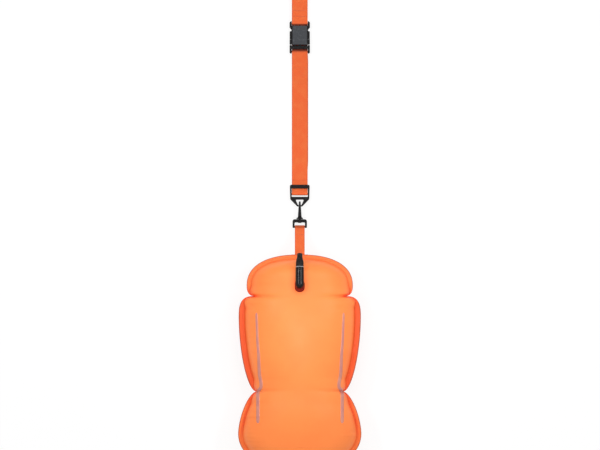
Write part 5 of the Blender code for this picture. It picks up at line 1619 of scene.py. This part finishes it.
class BuoySwivel(bpy.types.Operator):
    """Make the swivel base, the snap hook with its pin and collar, and the springy gate"""
    bl_idname = "buoy.swivel"
    bl_label = "Swivel and Snap Hook"

    def execute(self, context):
        add_hardware("swivel_base_moulded", self.base_shape(), "base", "swivel_base")
        add_hardware("snap_hook_moulded", self.hook_shape(), "hook", "snap_hook")
        add_hardware("snap_gate_moulded", self.gate_shape(), "gate", "snap_gate")
        return {"FINISHED"}

    @staticmethod
    def base_shape():
        """D-shaped plate with its bar, and a bored barrel round the swivel's pin."""
        inner = BASE_HALF_WIDTH - BASE_RAIL_WIDTH
        toe = BASE_BAR_Y - BASE_TOE
        arch_bottom = BASE_BAR_Y + BASE_ARCH_BOTTOM
        arch_top = BASE_BAR_Y + BASE_ARCH_TOP
        outline = rounded_polygon([
            (inner, toe, 0.0014), (BASE_HALF_WIDTH, toe, 0.0022),
            (BASE_HALF_WIDTH, arch_top, 0.0055), (-BASE_HALF_WIDTH, arch_top, 0.0055),
            (-BASE_HALF_WIDTH, toe, 0.0022), (-inner, toe, 0.0014),
            (-inner, arch_bottom, 0.0025), (inner, arch_bottom, 0.0025)])
        shape = plate_shape([outline], CHAIN_HEIGHT - BASE_THICKNESS / 2.0,
                            CHAIN_HEIGHT + BASE_THICKNESS / 2.0)
        round_rims(shape, 0.0008)
        add_bar(shape, BASE_BAR_RADIUS, BASE_HALF_WIDTH - BASE_RAIL_WIDTH / 2.0, BASE_BAR_Y,
                CHAIN_HEIGHT)
        hole = SWIVEL_PIN_RADIUS + RUNNING_GAP
        recess = SWIVEL_HEAD_RADIUS + RUNNING_GAP
        seat = arch_bottom + SWIVEL_HEAD_SINK + RUNNING_GAP
        barrel = [(recess, arch_bottom), (SWIVEL_BARREL_RADIUS, arch_bottom),
                  (SWIVEL_BARREL_RADIUS, arch_top - GAP), (hole, arch_top - GAP), (hole, seat),
                  (recess, seat)]
        add_shape(shape, turned_shape(rounded_corners(barrel, 0.0008), on_chain(), 48))
        return shape

    @staticmethod
    def hook_outline():
        """Neck, spine, bow and nose from the side, as (y, height above the chain's middle)."""
        inner = HOOK_HALF_DEPTH - HOOK_BAR
        reach = inner + HOOK_BOW_BAR
        outer_bow = []
        inner_bow = []
        for step in range(25):
            angle = math.radians(-90.0 + 180.0 * step / 24.0)
            outer_bow.append((HOOK_BOW_CENTRE_Y + reach * math.cos(angle),
                              HOOK_HALF_DEPTH * math.sin(angle)))
            inner_bow.append((HOOK_BOW_CENTRE_Y + inner * math.cos(angle), inner * math.sin(angle)))
        inner_bow.reverse()
        neck = HOOK_SPINE_FROM_Y - HOOK_NECK_LENGTH
        seat = HOOK_HALF_DEPTH - GATE_THICKNESS
        return ([(neck, -HOOK_NECK_RADIUS), (HOOK_SPINE_FROM_Y, -HOOK_HALF_DEPTH)] + outer_bow
                + [(HOOK_NOSE_FROM_Y, HOOK_HALF_DEPTH), (HOOK_NOSE_FROM_Y, inner)] + inner_bow
                + [(HOOK_SPINE_FROM_Y + inner / 2.0, -inner), (HOOK_SPINE_FROM_Y, -inner / 2.0),
                   (HOOK_SPINE_FROM_Y, HOOK_HALF_DEPTH - 2.0 * GATE_THICKNESS),
                   (HOOK_SPINE_FROM_Y - GATE_THICKNESS, seat), (neck, HOOK_NECK_RADIUS)])

    @staticmethod
    def half_thickness(y):
        """The hook thins from its neck to the top of its bow."""
        top = HOOK_BOW_CENTRE_Y + HOOK_HALF_DEPTH + HOOK_BOW_BAR - HOOK_BAR
        share = min(1.0, max(0.0, (y - HOOK_SPINE_FROM_Y) / (top - HOOK_SPINE_FROM_Y)))
        return HOOK_HALF_THICKNESS + (HOOK_TIP_HALF_THICKNESS - HOOK_HALF_THICKNESS) * share

    @classmethod
    def side_plate(cls, outline, side_share):
        """Plate drawn from the side, as thick as the hook at each place."""
        shape = plate_shape([outline], -1.0, 1.0)
        for vert in shape.verts:
            y, z, side = vert.co
            vert.co = (side * side_share * cls.half_thickness(y), y, CHAIN_HEIGHT + z)
        bmesh.ops.recalc_face_normals(shape, faces=shape.faces)
        return shape

    @classmethod
    def hook_shape(cls):
        """Hook drawn from the side, with its turned neck, collar and pin."""
        shape = round_rims(cls.side_plate(cls.hook_outline(), 1.0), 0.0007, 3, 60.0)
        arch_bottom = BASE_BAR_Y + BASE_ARCH_BOTTOM
        collar = BASE_BAR_Y + BASE_ARCH_TOP + GAP
        collar_end = collar + COLLAR_DISC_LENGTH
        head = arch_bottom - SWIVEL_HEAD_SINK
        head_end = head + 2.0 * SWIVEL_HEAD_SINK
        neck_end = HOOK_SPINE_FROM_Y - GATE_THICKNESS
        pin = [(0.0, head), (SWIVEL_HEAD_RADIUS, head), (SWIVEL_HEAD_RADIUS, head_end),
               (SWIVEL_PIN_RADIUS, head_end), (SWIVEL_PIN_RADIUS, collar),
               (COLLAR_DISC_RADIUS, collar), (COLLAR_DISC_RADIUS, collar_end),
               (HOOK_NECK_RADIUS, collar_end + COLLAR_DISC_LENGTH / 2.0),
               (HOOK_NECK_RADIUS, neck_end), (0.0, neck_end)]
        add_shape(shape, turned_shape(rounded_corners(pin, 0.0008), on_chain(), 48))
        return shape

    @classmethod
    def gate_shape(cls):
        """Round root, springy blade and a stepped tongue that shuts under the nose."""
        root_y = HOOK_SPINE_FROM_Y
        root_z = HOOK_HALF_DEPTH - GATE_THICKNESS / 2.0 - GAP
        top = root_z + GATE_THICKNESS / 2.0
        bottom = root_z - GATE_THICKNESS / 2.0
        under = HOOK_HALF_DEPTH - HOOK_BAR - GAP
        tip = HOOK_NOSE_FROM_Y + GATE_TONGUE
        step = HOOK_NOSE_FROM_Y - GAP
        tongue = under - GATE_TONGUE / 2.0
        outline = arc_points((root_y, root_z), GATE_ROOT_RADIUS, 50.0, 310.0, 20)
        outline += [(step - GATE_THICKNESS, bottom), (step - GATE_TONGUE / 2.0, tongue),
                    (tip, tongue), (tip, under), (step, under), (step, top - GAP)]
        return round_rims(cls.side_plate(outline, GATE_SIDE_SHARE), 0.0004, 3, 60.0)


class BuoyRing(bpy.types.Operator):
    """Make the belt's ring with its webbing window, its bar and the hook's eye"""
    bl_idname = "buoy.ring"
    bl_label = "Belt Ring"

    def execute(self, context):
        outer = rounded_polygon(mirrored_corners([
            (RING_FOOT_HALF, RING_FOOT_Y, 0.003), (RING_SHOULDER_HALF, RING_SHOULDER_Y, 0.004),
            (RING_HALF_WIDTH, RING_TOP_Y, 0.004)]))
        inner = RING_HALF_WIDTH - RING_RAIL
        window = rounded_polygon(mirrored_corners([
            (inner, RING_WINDOW_BOTTOM_Y, 0.0013), (inner, RING_TOP_Y - RING_TOP_BAR, 0.0013)]))
        eye = rounded_polygon(mirrored_corners([
            (RING_EYE_BOTTOM_HALF, RING_EYE_BOTTOM_Y, 0.0016),
            (RING_EYE_TOP_HALF, RING_EYE_TOP_Y, 0.0016)]))
        shape = plate_shape([outer, window, eye], CHAIN_HEIGHT - RING_THICKNESS / 2.0,
                            CHAIN_HEIGHT + RING_THICKNESS / 2.0)
        round_rims(shape, 0.0007)
        add_bar(shape, RING_BAR_RADIUS, RING_HALF_WIDTH - RING_RAIL / 2.0, RING_BAR_Y,
                CHAIN_HEIGHT)
        add_hardware("belt_ring_moulded", shape, "ring", "belt_ring")
        return {"FINISHED"}


def softened_copy(node_name, width, segments=3):
    """A merged copy of a CAD node with its moulded edges rounded."""
    shape = bmesh.new()
    shape.from_mesh(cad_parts[node_name].data)
    bmesh.ops.remove_doubles(shape, verts=shape.verts, dist=GAP / 30.0)
    bmesh.ops.dissolve_limit(shape, angle_limit=math.radians(1.0), verts=shape.verts,
                             edges=shape.edges)
    return round_rims(shape, width, segments, 45.0)


class BuoyBuckle(bpy.types.Operator):
    """Make the side-release buckle: socket with a painted grey reflection on its flat faces, plug
    and two springy arms
    """
    bl_idname = "buoy.buckle"
    bl_label = "Buckle"

    def execute(self, context):
        z = buckle_height()
        shape = softened_copy("buckle_socket", 0.0005)
        # Flat faces on both sides get the grey painted reflection; the rest stays black.
        for face in shape.faces:
            middle = face.calc_center_median()
            raised = abs(middle.z - z) > BUCKLE_SIDE_HALF_HEIGHT + GAP
            face.material_index = 1 if raised and abs(middle.x) < BUCKLE_FACE_HALF_WIDTH else 0
        socket = add_hardware("buckle_socket_moulded", shape, "belt", "buckle_socket",
                              "grey_plastic")
        socket.data.materials.append(plastic("grey plastic"))
        add_hardware("buckle_plug_moulded", softened_copy("buckle_plug", 0.0004), "plug",
                     "buckle_plug")
        for side in ("left", "right"):
            node = "buckle_arm_" + side
            add_hardware("buckle_arm_moulded_" + side, softened_copy(node, 0.0004),
                         "arm_" + side, node)
        return {"FINISHED"}


# Stage

def seen_plainly(tree):
    """1 for what the camera and mirrors see, and 0 for the light that falls on the buoy."""
    seen = add_node(tree, "LightPath").outputs
    mirrored = maths(tree, "MAXIMUM", seen["Is Glossy Ray"], seen["Is Transmission Ray"])
    return maths(tree, "MAXIMUM", seen["Is Camera Ray"], mirrored)


def floor_material():
    """Pale floor: white to the camera and in reflections, with the buoy's soft shadow kept."""
    material = bpy.data.materials.new("pale floor")
    material.use_nodes = True
    tree = material.node_tree
    tree.nodes.clear()
    direct = seen_plainly(tree)
    plain = add_node(tree, "BsdfDiffuse", {"Color": (0.8, 0.8, 0.8)}).outputs[0]
    shaded = add_node(tree, "BsdfDiffuse", {"Color": (0.16, 0.16, 0.16)}).outputs[0]
    glow = add_node(tree, "Emission", {"Strength": 0.86}).outputs[0]
    white = add_node(tree, "AddShader", {0: shaded, 1: glow}).outputs[0]
    either = add_node(tree, "MixShader", {0: direct, 1: plain, 2: white}).outputs[0]
    add_node(tree, "OutputMaterial", {"Surface": either})
    return material


def light_world(world, strength):
    """Even white light on the buoy, behind which the camera and reflections see plain white."""
    world.use_nodes = True
    tree = world.node_tree
    sky = tree.nodes["Background"]
    level = add_node(tree, "MapRange", {"Value": seen_plainly(tree), "To Min": strength,
                                        "To Max": 1.0})
    feed(tree, sky.inputs["Color"], (1.0, 1.0, 1.0))
    feed(tree, sky.inputs["Strength"], level.outputs["Result"])


def add_softbox(name, place, aim, length_along, width, power, cone=180.0):
    """Rectangular lamp, its length along the buoy, that shines from a place towards a point in a
    cone of that many degrees."""
    lamp = bpy.data.lights.new(name, "AREA")
    lamp.shape = "RECTANGLE"
    lamp.size = length_along
    lamp.size_y = width
    lamp.energy = power
    lamp.spread = math.radians(cone)
    box = bpy.data.objects.new(name, lamp)
    bpy.context.scene.collection.objects.link(box)
    box.location = place
    box.visible_camera = False
    back = (Vector(place) - Vector(aim)).normalized()
    along = (Vector((0.0, 1.0, 0.0)) - back * back.y).normalized()
    box.rotation_euler = Matrix((along, back.cross(along), back)).transposed().to_euler()


PICTURE_MIDDLE = (0.000625, -0.00375, 0.035)
FLOOR_HALF_WIDTH = 12.0
WORLD_LEVEL = 0.56
LAMP_POWER = 12.0
SIDE_LAMPS = {"left_softbox": (-1.24, 0.53, 2.05), "right_softbox": (1.37, 0.52, 1.95)}


class BuoyStage(bpy.types.Operator):
    """Make the camera above the buoy, the pale floor and the soft studio light"""
    bl_idname = "buoy.stage"
    bl_label = "Camera, Floor and Lights"

    def execute(self, context):
        scene = context.scene
        stage = scene.buoy_stage
        camera = bpy.data.cameras.new("camera")
        camera.sensor_width = 36.0
        camera.lens = camera.sensor_width * stage.camera_distance / stage.frame_width
        camera.clip_end = 100.0
        view = bpy.data.objects.new("camera", camera)
        scene.collection.objects.link(view)
        x, y, z = PICTURE_MIDDLE
        view.location = (x, y, z + stage.camera_distance)
        scene.camera = view

        shape = bmesh.new()
        bmesh.ops.create_grid(shape, x_segments=8, y_segments=8, size=FLOOR_HALF_WIDTH)
        floor = mesh_object("floor", shape, floor_material(), smooth=False)
        floor.data.transform(Matrix.Translation((0.0, 0.0, -GAP)))

        scene.world = bpy.data.worlds.new("studio")
        light_world(scene.world, WORLD_LEVEL * stage.light_strength)
        power = LAMP_POWER * stage.light_strength
        tube = valve_root() + Vector((0.0, 0.023, 0.006))
        for name, place in SIDE_LAMPS.items():
            add_softbox(name, place, tube, 0.45, 0.2, power)
        add_softbox("top_softbox", (0.0, 1.9, 2.2), (0.0, 0.0, 0.05), 1.0, 2.0, 0.8 * power)
        add_softbox("near_softbox", (0.02, -0.24, 0.6), (0.02, -0.24, 0.1), 0.2, 0.2,
                    0.018 * power, 90.0)
        scene.view_settings.view_transform = "Standard"
        return {"FINISHED"}


class BuoyPanel(bpy.types.Panel):
    """The buoy's sizes, colours and pieces"""
    bl_idname = "VIEW3D_PT_swim_buoy"
    bl_label = "Swim Buoy"
    bl_space_type = "VIEW_3D"
    bl_region_type = "UI"
    bl_category = "Swim Buoy"

    def draw(self, context):
        layout = self.layout
        for name, label in SETTINGS:
            box = layout.box()
            box.label(text=label)
            settings = getattr(context.scene, name)
            for item in settings.bl_rna.properties:
                if item.identifier not in ("rna_type", "name"):
                    box.prop(settings, item.identifier)
        for piece in PIECES:
            layout.operator(piece.bl_idname)


SETTINGS = (("buoy_float", "Float"), ("buoy_straps", "Webbing"), ("buoy_colours", "Colours"),
            ("buoy_stage", "Stage"))
GROUPS = (("buoy_float", BuoyFloatSizes), ("buoy_straps", BuoyStrapSizes),
          ("buoy_colours", BuoyFinishColours), ("buoy_stage", BuoyStageSizes))
PIECES = (BuoyPanels, BuoyStrips, BuoyValve, BuoyLeash, BuoySwivel, BuoyRing, BuoyBelt, BuoyBuckle,
          BuoyStage)


def register():
    for name, group in GROUPS:
        bpy.utils.register_class(group)
        setattr(bpy.types.Scene, name, bpy.props.PointerProperty(type=group))
    for piece in PIECES:
        bpy.utils.register_class(piece)
    bpy.utils.register_class(BuoyPanel)


def unregister():
    bpy.utils.unregister_class(BuoyPanel)
    for piece in reversed(PIECES):
        bpy.utils.unregister_class(piece)
    for name, group in reversed(GROUPS):
        delattr(bpy.types.Scene, name)
        bpy.utils.unregister_class(group)


def main():
    register()
    for piece in PIECES:
        family, action = piece.bl_idname.split(".")
        getattr(getattr(bpy.ops, family), action)()


if __name__ == "__main__":
    main()
